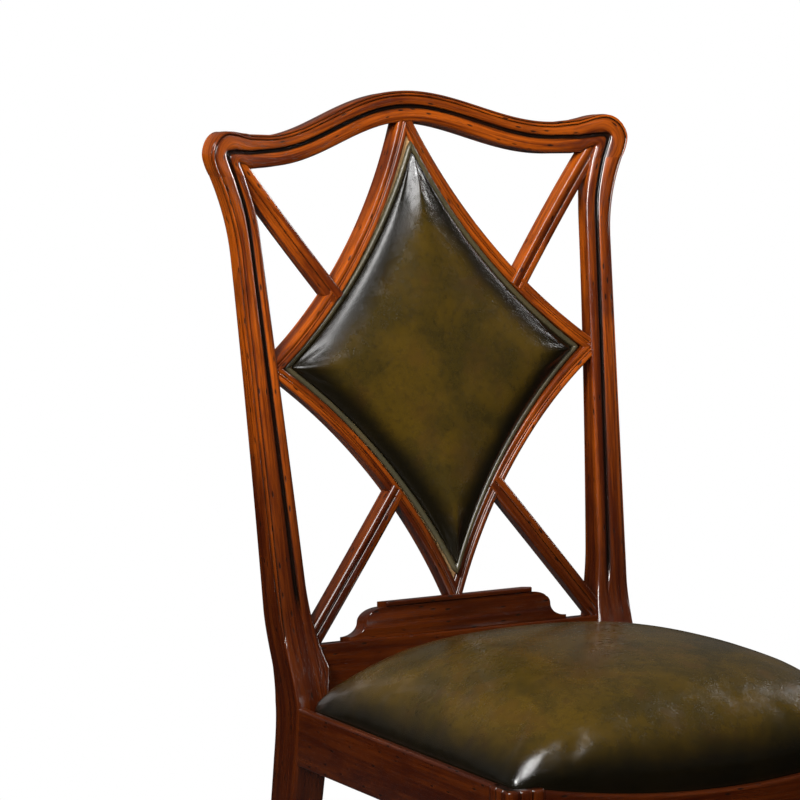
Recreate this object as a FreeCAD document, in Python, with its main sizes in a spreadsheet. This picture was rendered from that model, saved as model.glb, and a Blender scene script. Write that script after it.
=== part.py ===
import FreeCAD, Part
import math
import os
import Sketcher

V = FreeCAD.Vector

doc = FreeCAD.newDocument("lattice_back_chair")

# Driving sizes in millimetres, degrees and shares. +Z is up, the front is -Y, the floor is at zero.
driving = {
    # seat rails
    "rail_top": 440,
    "rail_height": 57,
    "rail_thick": 24,
    "lip_width": 9,
    "rebate_depth": 22,
    "rail_outer": 198,
    "side_rail_length": 387,
    "splay": 3.5,
    "front_bow": 16,
    "front_dip": 18,
    "tenon_thick": 10,
    "tenon_length": 17,
    "tenon_margin": 6,
    # front legs and glides
    "leg_size": 38,
    "leg_foot": 26,
    "leg_proud": 3,
    "leg_groove": 1.4,
    "glide_radius": 10,
    "glide_toe_radius": 8,
    "glide_height": 6,
    # back posts, which run down into the rear legs
    "post_line": 138,
    "back_set": 18,
    "knee_drop": 10,
    "knee_rise": 90,
    "post_outer": 198.5,
    "bend_height": 425,
    "bend_ease": 30,
    "back_rake": 8.67,
    "leg_sweep": 10.5,
    "shoulder_rise": 35,
    "waist_height": 850,
    "flare_start": 880,
    "joint_height": 949,
    "post_lean": 18,
    "ear_flare": 10,
    "ear_inner_flare": 3,
    "waist_width": 22.5,
    "post_taper": 9.5,
    "shoulder_flare": 12,
    "shoulder_reach": 85,
    "seat_post_width": 35,
    "foot_width": 29,
    "waist_depth": 25,
    "shoulder_depth": 38,
    "seat_post_depth": 46,
    "foot_depth": 32,
    # crest rail with its ears
    "crest_height": 29,
    "crest_rise": 35.5,
    "crest_half_wave": 165,
    "crest_bow": 28,
    "ear_half_spacing": 225,
    "ear_inner_radius": 7,
    "ear_reach": 65,
    "ear_angle": 28,
    "crest_dowel_radius": 5,
    "crest_dowel_length": 44,
    # mouldings: where the quirks lie, as shares of the width from the outer edge
    "post_fillet_share": 0.05,
    "post_bead_share": 0.2,
    "post_ovolo_share": 0.67,
    "crest_fillet_share": 0.035,
    "crest_bead_share": 0.12,
    "crest_ovolo_share": 0.46,
    "quirk_sink": 1.3,
    "groove_sink": 2.8,
    "outer_drop": 2.4,
    "inner_drop": 3.6,
    "stop_height": 500,
    "stop_length": 60,
    "plain_sink": 0.3,
    # rear rail and shoe
    "rear_rail_top": 496,
    "rear_rail_face": 1,
    "rear_rail_setback": 22,
    "rear_rail_foot": 24,
    "rear_rail_thick": 32,
    "shoe_base_half": 126,
    "shoe_top_half": 84,
    "shoe_height": 35.6,
    "shoe_step": 4,
    "shoe_fillet": 5,
    "shoe_setback": 4,
    "shoe_depth": 20,
    # concave diamond and its struts
    "diamond_half_width": 161,
    "tip_shortfall": 2.75,
    "corner_half_rise": 26.6,
    "tip_half_width": 9.6,
    "diamond_radius": 530,
    "arm_width": 13,
    "arm_depth": 18,
    "arm_setback": 2,
    "arm_sink": 1.3,
    "arm_round_share": 0.42,
    "strut_width": 18,
    "strut_depth": 17,
    "strut_sink": 1.6,
    "strut_setback": 4,
    "strut_share": 0.55,
    "upper_strut_bite": 8,
    "upper_strut_share": 0.338,
    "lower_strut_bite": 10,
    "lower_strut_share": 0.622,
    "lower_strut_drop": 6.5,
    # back panel: board, foam, leather and piping
    "pad_gap": 0.4,
    "pad_crown": 14,
    "pad_leather": 1.5,
    "board_thick": 6,
    "board_recess": 8,
    "piping_radius": 2.8,
    "piping_recess": 1.5,
    # drop-in seat
    "seat_clearance": 1,
    "seat_leather": 1.6,
    "seat_frame_thick": 20,
    "seat_frame_width": 46,
    "seat_rim": 2,
    "seat_crown": 80,
    "seat_edge_power": 2.5,
    "seat_crown_power": 0.4,
    "seat_corner": 16,
    "web_width": 50,
    "web_thick": 2,
    "web_pitch": 75,
    "cover_thick": 1,
    "cover_margin": 4,
    # corner blocks and their screws
    "block_leg": 58,
    "block_height": 28,
    "block_drop": 3,
    "block_flange": 12,
    "screw_radius": 2,
    "screw_head_radius": 4,
    "screw_head_height": 2.5,
    "screw_bite": 10,
    # the air left in glued joints
    "fit_gap": 0.25,
}

sheet = doc.addObject("Spreadsheet::Sheet", "Sizes")
for row, (alias, value) in enumerate(driving.items(), start=1):
    sheet.set(f"A{row}", alias)
    sheet.set(f"B{row}", str(value))
    sheet.setAlias(f"B{row}", alias)
doc.recompute()

nodes = []


def size(alias):
    return float(sheet.get(alias))


def tangent(alias):
    return math.tan(math.radians(size(alias)))


def keep(obj, label):
    obj.Label = label
    nodes.append(obj)
    return obj


def solid_feature(name, shape):
    feature = doc.addObject("Part::Feature", name)
    feature.Shape = shape
    feature.Placement = FreeCAD.Placement()
    return feature


def chords(first, middle, last, count):
    # an arc through three points, as a run of equal chords
    points = Part.Arc(first, middle, last).discretize(count + 1)
    return points if (points[0] - first).Length < (points[-1] - first).Length else points[::-1]


def closed_wire(points):
    return Part.makePolygon(points + points[:1])


def largest(shape):
    return max(shape.Solids, key=lambda solid: solid.Volume)


def mirrored(shape):
    return shape.mirror(V(0, 0, 0), V(1, 0, 0))


def mirror_feature(name, source):
    copy = doc.addObject("Part::Mirroring", name)
    copy.Source = source
    copy.Base = V(0, 0, 0)
    copy.Normal = V(1, 0, 0)
    doc.recompute()
    return copy


def scribe(shape, *neighbours):
    for neighbour, step in neighbours:
        shape = shape.cut(neighbour.translated(step))
    return largest(shape)


def origin_plane(body, role):
    return next(feature for feature in body.Origin.OriginFeatures if feature.Role == role)


def outline(body, name, points, height="0"):
    # a closed polygon on the body's ground plane, each corner tied to the sheet
    sketch = body.newObject("Sketcher::SketchObject", name)
    sketch.AttachmentSupport = [(origin_plane(body, "XY_Plane"), "")]
    sketch.MapMode = "FlatFace"
    sketch.setExpression("AttachmentOffset.Base.z", height)
    corners = [[float(sketch.evalExpression(text)) for text in point] for point in points]
    count = len(corners)
    for index, corner in enumerate(corners):
        following = corners[(index + 1) % count]
        sketch.addGeometry(Part.LineSegment(V(*corner, 0), V(*following, 0)))
    for index in range(count):
        sketch.addConstraint(Sketcher.Constraint("Coincident", index, 2, (index + 1) % count, 1))
    for index, point in enumerate(points):
        for kind, text, place in zip(("DistanceX", "DistanceY"), point, corners[index]):
            number = sketch.addConstraint(Sketcher.Constraint(kind, -1, 1, index, 1, place))
            sketch.setExpression(f"Constraints[{number}]", text)
    return sketch


def board(name, points, height, thick):
    # a flat piece of the given outline, standing on a height and as thick as an expression says
    body = doc.addObject("PartDesign::Body", name)
    sketch = outline(body, f"{name}_outline", points, height)
    pad = body.newObject("PartDesign::Pad", f"{name}_pad")
    pad.Profile = sketch
    pad.setExpression("Length", thick)
    doc.recompute()
    return body


def block(name, length, width, height, place):
    box = doc.addObject("Part::Box", name)
    box.setExpression("Length", length)
    box.setExpression("Width", width)
    box.setExpression("Height", height)
    for letter, text in zip("xyz", place):
        box.setExpression(f"Placement.Base.{letter}", text)
    return box


corner_share = 1 - math.sqrt(0.5)
rail_bottom = size("rail_top") - size("rail_height")
shoulder_height = size("rail_top") + size("shoulder_rise")
knee_start = size("rail_top") - size("knee_drop")
knee_end = size("rail_top") + size("knee_rise")
ledge = size("rail_top") - size("rebate_depth")
gap = size("fit_gap")


# Lines of the back

def ramp(value, start, end):
    return min(max((value - start) / (end - start), 0), 1)


def back_line(height):
    rise = height - size("bend_height")
    slope = tangent("back_rake") if rise > 0 else tangent("leg_sweep")
    ease = size("bend_ease")
    return size("post_line") + size("back_set") + slope * (math.hypot(rise, ease) - ease)


def knee(height):
    # how far a post stands in front of the back's own line, where it comes down to the seat
    share = ramp(height, knee_end, knee_start)
    return size("back_set") * share ** 2 * (3 - 2 * share)


def crest_middle():
    return size("joint_height") + size("ear_inner_radius") + size("crest_height") / 2


def back_surface(across, height):
    # the back is straight above the shoe and hollowed in plan towards the crest
    share = (height - size("rear_rail_top")) / (crest_middle() - size("rear_rail_top"))
    hollow = size("crest_bow") * max(share, 0) ** 2
    return back_line(height) + hollow * (1 - (across / size("ear_half_spacing")) ** 2)


def on_back(across, height):
    return V(across, back_surface(across, height), height)


def on_post(across, height):
    return on_back(across, height) - V(0, knee(height), 0)


def post_width(height):
    if height >= shoulder_height:
        taper = size("post_taper") * ramp(height, size("joint_height"), shoulder_height)
        flare = ramp(height, shoulder_height + size("shoulder_reach"), shoulder_height) ** 2
        return size("waist_width") + taper + size("shoulder_flare") * flare
    if height >= size("rail_top"):
        share = ramp(height, size("rail_top"), shoulder_height)
        widest = size("waist_width") + size("post_taper") + size("shoulder_flare")
        return size("seat_post_width") + (widest - size("seat_post_width")) * share
    share = ramp(height, rail_bottom, 0)
    return size("seat_post_width") + (size("foot_width") - size("seat_post_width")) * share


depth_power = 1.5


def post_depth(height):
    if height >= shoulder_height:
        share = ramp(height, size("waist_height"), shoulder_height)
        return size("waist_depth") + (size("shoulder_depth") - size("waist_depth")) * share ** depth_power
    if height >= size("rail_top"):
        share = ramp(height, size("rail_top"), shoulder_height)
        return size("seat_post_depth") + (size("shoulder_depth") - size("seat_post_depth")) * share
    share = ramp(height, rail_bottom, 0)
    return size("seat_post_depth") + (size("foot_depth") - size("seat_post_depth")) * share


def post_edges(height):
    outer = size("post_outer") + size("post_lean") * ramp(height, size("rail_top"), size("joint_height"))
    flare = ramp(height, size("flare_start"), size("joint_height")) ** 2
    inner = outer - post_width(height)
    return outer + size("ear_flare") * flare, inner - size("ear_inner_flare") * flare


def stopped(sink, height):
    # the grooves of a post run out towards the seat
    share = ramp(height, size("stop_height"), size("stop_height") + size("stop_length"))
    return size("plain_sink") + (sink - size("plain_sink")) * share


# Moulded sections: rounds side by side on the front, flat sides and back

round_chords = 4


def moulded_section(outer, inner, depth, stops, sinks, tilt=0):
    across = inner - outer

    def at(share, back):
        return outer + across * share + V(0, back, -back * tilt)

    points = [at(0, depth), at(0, sinks[0])]
    for index in range(len(stops) - 1):
        first = at(stops[index], sinks[index])
        middle = at((stops[index] + stops[index + 1]) / 2, 0)
        last = at(stops[index + 1], sinks[index + 1])
        points += chords(first, middle, last, round_chords)[1:]
    return closed_wire(points + [at(1, depth)])


def plain_section(outer, inner, depth, tilt=0):
    # the same bar before it is moulded, for the joints that are cut against it
    back = V(0, depth, -depth * tilt)
    return closed_wire([outer, inner, inner + back, outer + back])


quirks = ("fillet_share", "bead_share", "ovolo_share")
quirk_sinks = (size("quirk_sink"), size("quirk_sink"), size("groove_sink"))


def frame_section(outer, inner, depth, sinks, turn, plain):
    # the turn runs from the post's moulding at 0 to the crest's at 1, which lies square to the raked back
    tilt = tangent("back_rake") * turn
    if plain:
        return plain_section(outer, inner, depth, tilt)
    stops = [size(f"post_{quirk}") * (1 - turn) + size(f"crest_{quirk}") * turn for quirk in quirks]
    ends = (size("outer_drop"), size("inner_drop"))
    return moulded_section(outer, inner, depth, [0, *stops, 1], [ends[0], *sinks, ends[1]], tilt)


def post_section(height, plain):
    outer, inner = post_edges(height)
    edges = (on_post(-outer, height), on_post(-inner, height))
    sinks = [stopped(sink, height) for sink in quirk_sinks]
    return frame_section(*edges, post_depth(height), sinks, 0, plain)


leg_stations = 3
knee_stations = 2
back_stations = 8
station_crowding = 1.4


def post_heights():
    low = size("glide_height")
    heights = [low + (rail_bottom - low) * step / leg_stations for step in range(leg_stations + 1)]
    heights += [size("bend_height"), size("rail_top") + gap]
    bow = knee_end - shoulder_height
    heights += [shoulder_height + bow * step / knee_stations for step in range(knee_stations)]
    span = size("joint_height") - knee_end
    for step in range(back_stations + 1):
        heights.append(size("joint_height") - span * (1 - step / back_stations) ** station_crowding)
    return heights


def post_loft(plain):
    return Part.makeLoft([post_section(height, plain) for height in post_heights()], True, True)


post_blank = post_loft(False)
post_plain = post_loft(True)


# Crest rail: the same moulding turns up out of the post, round the ear and along a serpentine

quarter_turn = math.degrees(math.pi / 2)


def ear_radius(turn):
    outer, inner = post_edges(size("joint_height"))
    pivot = inner - size("ear_inner_radius")
    peak = size("ear_angle")
    if turn < peak:
        low, share = outer - pivot, (peak - turn) / peak
    else:
        low, share = size("ear_inner_radius") + size("crest_height"), (turn - peak) / (quarter_turn - peak)
    return size("ear_reach") - (size("ear_reach") - low) * (1 - math.cos(math.pi * share)) / 2


def ear_section(turn, plain):
    inner = post_edges(size("joint_height"))[1]
    pivot = inner - size("ear_inner_radius")
    cosine = math.cos(math.radians(turn))
    sine = math.sin(math.radians(turn))

    def at(radius):
        return on_back(-pivot - radius * cosine, size("joint_height") + radius * sine)

    edges = (at(ear_radius(turn)), at(size("ear_inner_radius")))
    return frame_section(*edges, size("waist_depth"), quirk_sinks, turn / quarter_turn, plain)


def crest_section(across, plain):
    angle = math.pi * across / size("crest_half_wave")
    middle = crest_middle() + size("crest_rise") * (1 + math.cos(angle)) / 2
    slope = -size("crest_rise") * math.sin(angle) * math.pi / size("crest_half_wave") / 2
    half = size("crest_height") / 2 / math.hypot(1, slope)
    top = on_back(across - slope * half, middle + half)
    bottom = on_back(across + slope * half, middle - half)
    return frame_section(top, bottom, size("waist_depth"), quirk_sinks, 1, plain)


ear_steps = 6
crest_steps = 6


def crest_loft(plain):
    left = [ear_section(quarter_turn * step / ear_steps, plain) for step in range(ear_steps + 1)]
    for step in range(crest_steps):
        left.append(crest_section(-size("crest_half_wave") * (1 - step / crest_steps), plain))
    sections = left + [crest_section(0, plain)] + [mirrored(section) for section in reversed(left)]
    return Part.makeLoft(sections, True, True)


crest_blank = crest_loft(False)
crest_plain = crest_loft(True)


def crest_dowel(radius, length):
    outer, inner = post_edges(size("joint_height"))
    middle = -(outer + inner) / 2
    centre = back_surface(middle, size("joint_height")) + size("waist_depth") / 2
    return Part.makeCylinder(radius, length, V(middle, centre, size("joint_height") - length / 2))


dowel_hole = crest_dowel(size("crest_dowel_radius") + gap, size("crest_dowel_length") + 2 * gap)


def dowel_pin(name, side):
    pin = doc.addObject("Part::Cylinder", name)
    pin.setExpression("Radius", "Sizes.crest_dowel_radius")
    pin.setExpression("Height", "Sizes.crest_dowel_length")
    centre = dowel_hole.CenterOfMass
    low = V(side * centre.x, centre.y, centre.z - size("crest_dowel_length") / 2)
    pin.Placement = FreeCAD.Placement(low, FreeCAD.Rotation())
    return pin


dowels = doc.addObject("Part::Compound", "crest_dowels")
dowels.Links = [dowel_pin("left_crest_dowel", 1), dowel_pin("right_crest_dowel", -1)]
keep(dowels, "crest_dowels")
crest_shape = largest(crest_blank.cut(dowel_hole).cut(mirrored(dowel_hole)))
keep(solid_feature("crest_rail", crest_shape), "crest_rail")


# Side rails: an outer lip, a ledge for the seat, tenons into the post and the leg

side_turn = FreeCAD.Rotation(V(0, 0, 1), -quarter_turn - size("splay"))
side_place = FreeCAD.Placement(V(-size("rail_outer"), size("post_line"), 0), side_turn)


def side_frame(along, inward, height):
    return side_place.multVec(V(along, inward, height))


rail_blank = doc.addObject("PartDesign::Body", "side_rail_blank")
rail_plan = outline(
    rail_blank,
    "side_rail_plan",
    [
        ("-Sizes.rail_thick", "0"),
        ("Sizes.side_rail_length", "0"),
        ("Sizes.side_rail_length", "Sizes.rail_thick"),
        ("-Sizes.rail_thick", "Sizes.rail_thick"),
    ],
    "Sizes.rail_top - Sizes.rail_height",
)
rail_pad = rail_blank.newObject("PartDesign::Pad", "side_rail_pad")
rail_pad.Profile = rail_plan
rail_pad.setExpression("Length", "Sizes.rail_height")
doc.recompute()
rebate_plan = outline(
    rail_blank,
    "side_rail_rebate",
    [
        ("-2 * Sizes.rail_thick", "Sizes.lip_width"),
        ("2 * Sizes.side_rail_length", "Sizes.lip_width"),
        ("2 * Sizes.side_rail_length", "2 * Sizes.rail_thick"),
        ("-2 * Sizes.rail_thick", "2 * Sizes.rail_thick"),
    ],
    "Sizes.rail_top",
)
rebate = rail_blank.newObject("PartDesign::Pocket", "side_rail_pocket")
rebate.Profile = rebate_plan
rebate.setExpression("Length", "Sizes.rebate_depth")
rail_blank.Placement = side_place
doc.recompute()
if rail_blank.Shape.Volume >= rail_pad.Shape.Volume:
    raise RuntimeError("the side rail's rebate cut nothing")

tenon_low = rail_bottom + size("tenon_margin")
tenon_high = ledge - size("tenon_margin")
tenon_side = (size("rail_thick") - size("tenon_thick")) / 2


def tenon_box(start, end, side, slack):
    low = V(start - slack, side - slack, tenon_low - slack)
    thick = size("tenon_thick") + 2 * slack
    tall = tenon_high - tenon_low + 2 * slack
    box = Part.makeBox(end - start + 2 * slack, thick, tall, low)
    box.Placement = side_place.multiply(box.Placement)
    return box


rear_tenon_span = (-size("tenon_length"), size("rail_thick") / 2)
front_tenon_span = (
    size("side_rail_length") - size("rail_thick") / 2,
    size("side_rail_length") + size("tenon_length"),
)
post_step = V(0, -gap, 0)
scribed = scribe(rail_blank.Shape, (post_plain, post_step))
for span in (rear_tenon_span, front_tenon_span):
    scribed = scribed.fuse(tenon_box(*span, tenon_side, 0))
side_rail_shape = scribed.removeSplitter()


# Front legs: square to the side rails, reeded on the two outer faces, tapered inside

leg_start = size("side_rail_length") + gap
leg_side = -size("leg_proud")
leg_reeds = 3


def leg_section(width, height):
    corner = leg_start + size("leg_size")
    sink = size("leg_groove")
    pitch = width / leg_reeds
    points = [side_frame(corner - width, leg_side + width, height)]
    for reed in range(leg_reeds):
        start = corner - width + reed * pitch
        first = side_frame(start, leg_side + sink, height)
        middle = side_frame(start + pitch / 2, leg_side, height)
        last_along = start + pitch - (sink if reed == leg_reeds - 1 else 0)
        last = side_frame(last_along, leg_side + sink, height)
        points += chords(first, middle, last, round_chords)[reed > 0:]
    for reed in range(leg_reeds):
        start = leg_side + reed * pitch
        first_side = start + (sink if reed == 0 else 0)
        first = side_frame(corner - sink, first_side, height)
        middle = side_frame(corner, start + pitch / 2, height)
        last = side_frame(corner - sink, start + pitch, height)
        points += chords(first, middle, last, round_chords)[1:]
    return closed_wire(points)


leg_blank = Part.makeLoft(
    [
        leg_section(size("leg_foot"), size("glide_height")),
        leg_section(size("leg_size"), rail_bottom),
        leg_section(size("leg_size"), size("rail_top")),
    ],
    True,
    True,
)
leg_lip = Part.makeBox(
    size("leg_size"),
    size("leg_size"),
    size("rebate_depth"),
    V(leg_start - size("lip_width") - size("leg_proud"), size("lip_width"), ledge),
)
leg_lip.Placement = side_place.multiply(leg_lip.Placement)


# Front rail: bowed in plan, dipped along its top, with a ledge behind its lip

leg_corner = side_frame(leg_start + size("leg_size"), leg_side, 0)
front_face_ends = side_frame(leg_start + size("leg_size") - size("leg_proud"), size("rail_thick"), 0)


def front_arc(inset, reach):
    # the bow of the front rail's face, moved back by the inset and run on past the legs
    half = abs(front_face_ends.x)
    bow = size("front_bow")
    radius = (half ** 2 + bow ** 2) / (2 * bow)
    centre = front_face_ends.y - bow + radius
    turn = math.asin(reach / radius)
    small = radius - inset
    left = V(-small * math.sin(turn), centre - small * math.cos(turn), 0)
    right = V(-left.x, left.y, 0)
    return left, V(0, centre - small, 0), right


def front_band(near, far, low, high):
    reach = abs(leg_corner.x)
    first = front_arc(near, reach)
    second = front_arc(far, reach)
    edges = [
        Part.Arc(*first).toShape(),
        Part.LineSegment(first[2], second[2]).toShape(),
        Part.Arc(*reversed(second)).toShape(),
        Part.LineSegment(second[0], first[0]).toShape(),
    ]
    face = Part.Face(Part.Wire(edges))
    return face.extrude(V(0, 0, high - low)).translated(V(0, 0, low))


def dip_cutter():
    half = abs(front_face_ends.x)
    deep = size("front_dip")
    top = size("rail_top")
    near = leg_corner.y - size("rail_thick") * 2
    ends = [V(-half, near, top), V(0, near, top - deep), V(half, near, top)]
    above = [V(half, near, top + deep), V(-half, near, top + deep)]
    edges = [
        Part.Arc(*ends).toShape(),
        Part.LineSegment(ends[2], above[0]).toShape(),
        Part.LineSegment(above[0], above[1]).toShape(),
        Part.LineSegment(above[1], ends[0]).toShape(),
    ]
    return Part.Face(Part.Wire(edges)).extrude(V(0, size("rail_thick") * 4, 0))


leg_box = Part.makeBox(
    size("leg_size"),
    2 * size("leg_size"),
    size("rail_height") * 2,
    V(leg_start, leg_side - size("leg_size") + gap, rail_bottom - size("rail_height") / 2),
)
leg_box.Placement = side_place.multiply(leg_box.Placement)
front_blank = front_band(0, size("rail_thick"), rail_bottom, size("rail_top"))
front_rebate = front_band(size("lip_width"), 2 * size("rail_thick"), ledge, 2 * size("rail_top"))
front_blank = front_blank.cut(front_rebate).cut(dip_cutter())
front_blank = largest(front_blank.cut(leg_box).cut(mirrored(leg_box)))

front_tenon_back = leg_start + size("leg_size") - size("leg_proud") - size("rail_thick") + tenon_side


def front_tenon(slack):
    side = leg_side + size("leg_size") - size("tenon_length")
    low = V(front_tenon_back - slack, side - slack, tenon_low - slack)
    reach = size("tenon_length") + size("rail_thick") / 2
    tall = tenon_high - tenon_low + 2 * slack
    box = Part.makeBox(size("tenon_thick") + 2 * slack, reach + 2 * slack, tall, low)
    box.Placement = side_place.multiply(box.Placement)
    return box


front_rail_shape = front_blank.fuse(front_tenon(0)).fuse(mirrored(front_tenon(0))).removeSplitter()
side_mortise = tenon_box(*front_tenon_span, tenon_side, gap)
leg_shape = leg_blank.cut(leg_lip).cut(side_mortise).cut(front_tenon(gap))


# Rear rail between the posts, a shelf in front of it at the seat, and the ogee shoe on it

rear_face = size("post_line") + size("rear_rail_face")
rear_front = size("post_line") + size("rear_rail_setback")
rear_half = size("post_outer") - size("seat_post_width") / 2


def rail_slope(back):
    # the rear rail's top falls towards the back, square to the raked posts
    return size("rear_rail_top") - tangent("back_rake") * (back - rear_front)


rear_back = rear_front + size("rear_rail_thick")
rear_profile = closed_wire(
    [
        V(-rear_half, rear_front, rail_bottom),
        V(-rear_half, rear_front + size("rear_rail_foot"), rail_bottom),
        V(-rear_half, rear_back, rail_slope(rear_back)),
        V(-rear_half, rear_front, size("rear_rail_top")),
    ]
)
rear_blank = Part.Face(rear_profile).extrude(V(2 * rear_half, 0, 0))
rear_blank = scribe(
    rear_blank, (post_plain, V(gap, 0, 0)), (mirrored(post_plain), V(-gap, 0, 0))
)
shelf_half = size("post_outer") - size("seat_post_width") - gap
rear_shelf = Part.makeBox(
    2 * shelf_half,
    rear_front + size("rear_rail_foot") / 2 - rear_face,
    size("rail_height"),
    V(-shelf_half, rear_face, rail_bottom),
)
rear_blank = rear_blank.fuse(rear_shelf).removeSplitter()


def rear_tenon(slack):
    inner = post_edges(size("rail_top"))[1]
    thick = size("tenon_thick") + 2 * slack
    side = (rear_face + rear_front + size("rear_rail_foot") - size("tenon_thick")) / 2 - slack
    tall = ledge - size("tenon_margin") - tenon_low + 2 * slack
    reach = size("tenon_length") + size("seat_post_width") / 2 + 2 * slack
    low = V(-inner - size("tenon_length") - slack, side, tenon_low - slack)
    return Part.makeBox(reach, thick, tall, low)


rear_rail_shape = rear_blank.fuse(rear_tenon(0)).fuse(mirrored(rear_tenon(0))).removeSplitter()

shoe_chords = 6
shoe_turn = 0.45
shoe_front = rear_front + size("shoe_setback")
shoe_base = rail_slope(shoe_front)
shoe_top = shoe_base + size("shoe_height")


def shoe_end():
    # half of the outline from the base up: a step, a hollow, a round and a fillet
    low = shoe_base + size("shoe_step")
    high = shoe_top - size("shoe_fillet")
    outer = size("shoe_base_half")
    inner = size("shoe_top_half")
    middle = outer + (inner - outer) * shoe_turn
    turn = low + (high - low) / 2
    sag = (turn - low) * corner_share
    hollow = chords(
        V(outer, shoe_front, low),
        V(middle + (outer - middle) * corner_share, shoe_front, low + sag),
        V(middle, shoe_front, turn),
        shoe_chords,
    )
    ovolo = chords(
        V(middle, shoe_front, turn),
        V(middle + (inner - middle) * corner_share, shoe_front, high - sag),
        V(inner, shoe_front, high),
        shoe_chords,
    )
    top = V(inner, shoe_front, shoe_top)
    return [V(outer, shoe_front, shoe_base)] + hollow + ovolo[1:] + [top]


shoe_right = shoe_end()
shoe_left = [V(-point.x, point.y, point.z) for point in reversed(shoe_right)]
shoe_run = V(0, size("shoe_depth"), rail_slope(size("shoe_depth")) - rail_slope(0))
shoe_shape = Part.Face(closed_wire(shoe_right + shoe_left)).extrude(shoe_run)


# Concave diamond: four moulded arms on one radius about four centres

crest_underside = crest_middle() + size("crest_rise") - size("crest_height") / 2
middle_height = (crest_underside + shoe_top) / 2
half_rise = (crest_underside - shoe_top) / 2 - size("tip_shortfall")


def diamond_centre():
    side = V(size("diamond_half_width"), size("corner_half_rise"), 0)
    top = V(size("tip_half_width"), half_rise, 0)
    chord = top - side
    normal = V(chord.y, -chord.x, 0).normalize()
    away = math.sqrt(size("diamond_radius") ** 2 - (chord.Length / 2) ** 2)
    return (side + top) * 0.5 + normal * away


bow_centre = diamond_centre()
arm_steps = 6
arm_stops = [0, size("arm_round_share"), 1 - size("arm_round_share"), 1]
arm_sinks = [2 * size("arm_sink"), size("arm_sink"), size("arm_sink"), 2 * size("arm_sink")]
arm_overrun = 0.05
arm_inner = size("diamond_radius") + size("arm_width")
arm_turns = (math.asin(bow_centre.y / arm_inner), math.acos(bow_centre.x / arm_inner))


def diamond_tips(radius):
    # where a concave side of this radius meets the level line and the upright through the middle
    side = bow_centre.x - math.sqrt(radius ** 2 - bow_centre.y ** 2)
    top = bow_centre.y - math.sqrt(radius ** 2 - bow_centre.x ** 2)
    return side, top


def arm_blank(up, plain=False, slack=0):
    # the plain one, for the struts, is deeper as well, so that no strut runs on behind it
    inner = arm_inner
    depth = size("arm_depth") + (size("strut_setback") if plain else 0)
    first = arm_turns[0] + arm_overrun
    last = arm_turns[1] - arm_overrun
    sections = []
    for step in range(arm_steps + 1):
        turn = first + (last - first) * step / arm_steps

        def at(radius):
            across = bow_centre.x - radius * math.cos(turn)
            rise = bow_centre.y - radius * math.sin(turn)
            return on_back(-across, middle_height + up * rise) + V(0, size("arm_setback"), 0)

        edges = (at(size("diamond_radius") - slack), at(inner), depth)
        if plain:
            sections.append(plain_section(*edges))
        else:
            sections.append(moulded_section(*edges, arm_stops, arm_sinks))
    return Part.makeLoft(sections, True, True)


def quarter(up):
    # the quarter of space that a left arm keeps to, up to its two mitres
    far = size("joint_height")
    low = middle_height + gap / 2 if up > 0 else middle_height - gap / 2 - far
    return Part.makeBox(far, far, far, V(-far - gap / 2, 0, low))


shoe_step = V(0, 0, gap)
crest_step = V(0, 0, -gap)
side_step = V(gap, 0, 0)
upper_arm = scribe(arm_blank(1).common(quarter(1)), (post_plain, side_step), (crest_plain, crest_step))
lower_arm = scribe(arm_blank(-1).common(quarter(-1)), (post_plain, side_step), (shoe_shape, shoe_step))


# Struts: two rounds with a groove, scribed to the frame at one end and the diamond at the other

def strut_blank(start, end, setbacks):
    run = V(end[0] - start[0], 0, end[1] - start[1]).normalize()
    across = V(-run.z, 0, run.x) * (size("strut_width") / 2)
    sections = []
    for (place, height), setback in zip((start, end), setbacks):
        middle = on_back(place, height) + V(0, setback, 0)
        sections.append(
            moulded_section(
                middle + across,
                middle - across,
                size("strut_depth"),
                [0, size("strut_share"), 1],
                [size("strut_sink") * 2, size("strut_sink"), size("strut_sink") * 2],
            )
        )
    return Part.makeLoft(sections, True, True)


def on_arm(share, up):
    # a place along the middle of a left arm, from the side corner to the tip
    radius = (size("diamond_radius") + arm_inner) / 2
    turn = arm_turns[0] + (arm_turns[1] - arm_turns[0]) * share
    across = bow_centre.x - radius * math.cos(turn)
    rise = bow_centre.y - radius * math.sin(turn)
    return -across, middle_height + up * rise


upper_end = post_edges(size("joint_height"))[1] + size("upper_strut_bite")
lower_end = post_edges(size("rear_rail_top"))[1] + size("lower_strut_bite")
below_near = V(-size("post_outer"), size("post_line"), 0)
below_far = below_near + V(0, size("post_line"), 0)
below_ring = [
    below_near,
    below_far,
    below_far + V(0, 0, rail_slope(below_far.y)),
    below_near + V(0, 0, rail_slope(below_near.y)),
]
below_struts = Part.Face(closed_wire(below_ring)).extrude(V(2 * size("post_outer"), 0, 0))
upper_strut = scribe(
    strut_blank(
        (-upper_end, size("joint_height")),
        on_arm(size("upper_strut_share"), 1),
        (size("strut_setback"), size("arm_setback")),
    ),
    (post_plain, side_step),
    (crest_plain, crest_step),
    (arm_blank(1, True, gap), V(0, 0, 0)),
)
lower_strut = scribe(
    strut_blank(
        on_arm(size("lower_strut_share"), -1),
        (-lower_end, size("rear_rail_top") - size("lower_strut_drop")),
        (size("arm_setback"), size("arm_setback")),
    ),
    (post_plain, side_step),
    (below_struts, shoe_step),
    (arm_blank(-1, True, gap), V(0, 0, 0)),
)


# Corner blocks under the ledge, each screwed to the two rails that it braces

turn_text = "Sizes.splay * 1deg"


def along_at(offset, inward):
    # how far along the left side rail the line at this distance in front of the posts lies
    return f"(({offset}) - ({inward}) * sin({turn_text})) / cos({turn_text})"


def inward_at(across, offset):
    return f"(({across}) + Sizes.rail_outer + ({offset}) * tan({turn_text})) * cos({turn_text})"


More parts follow.
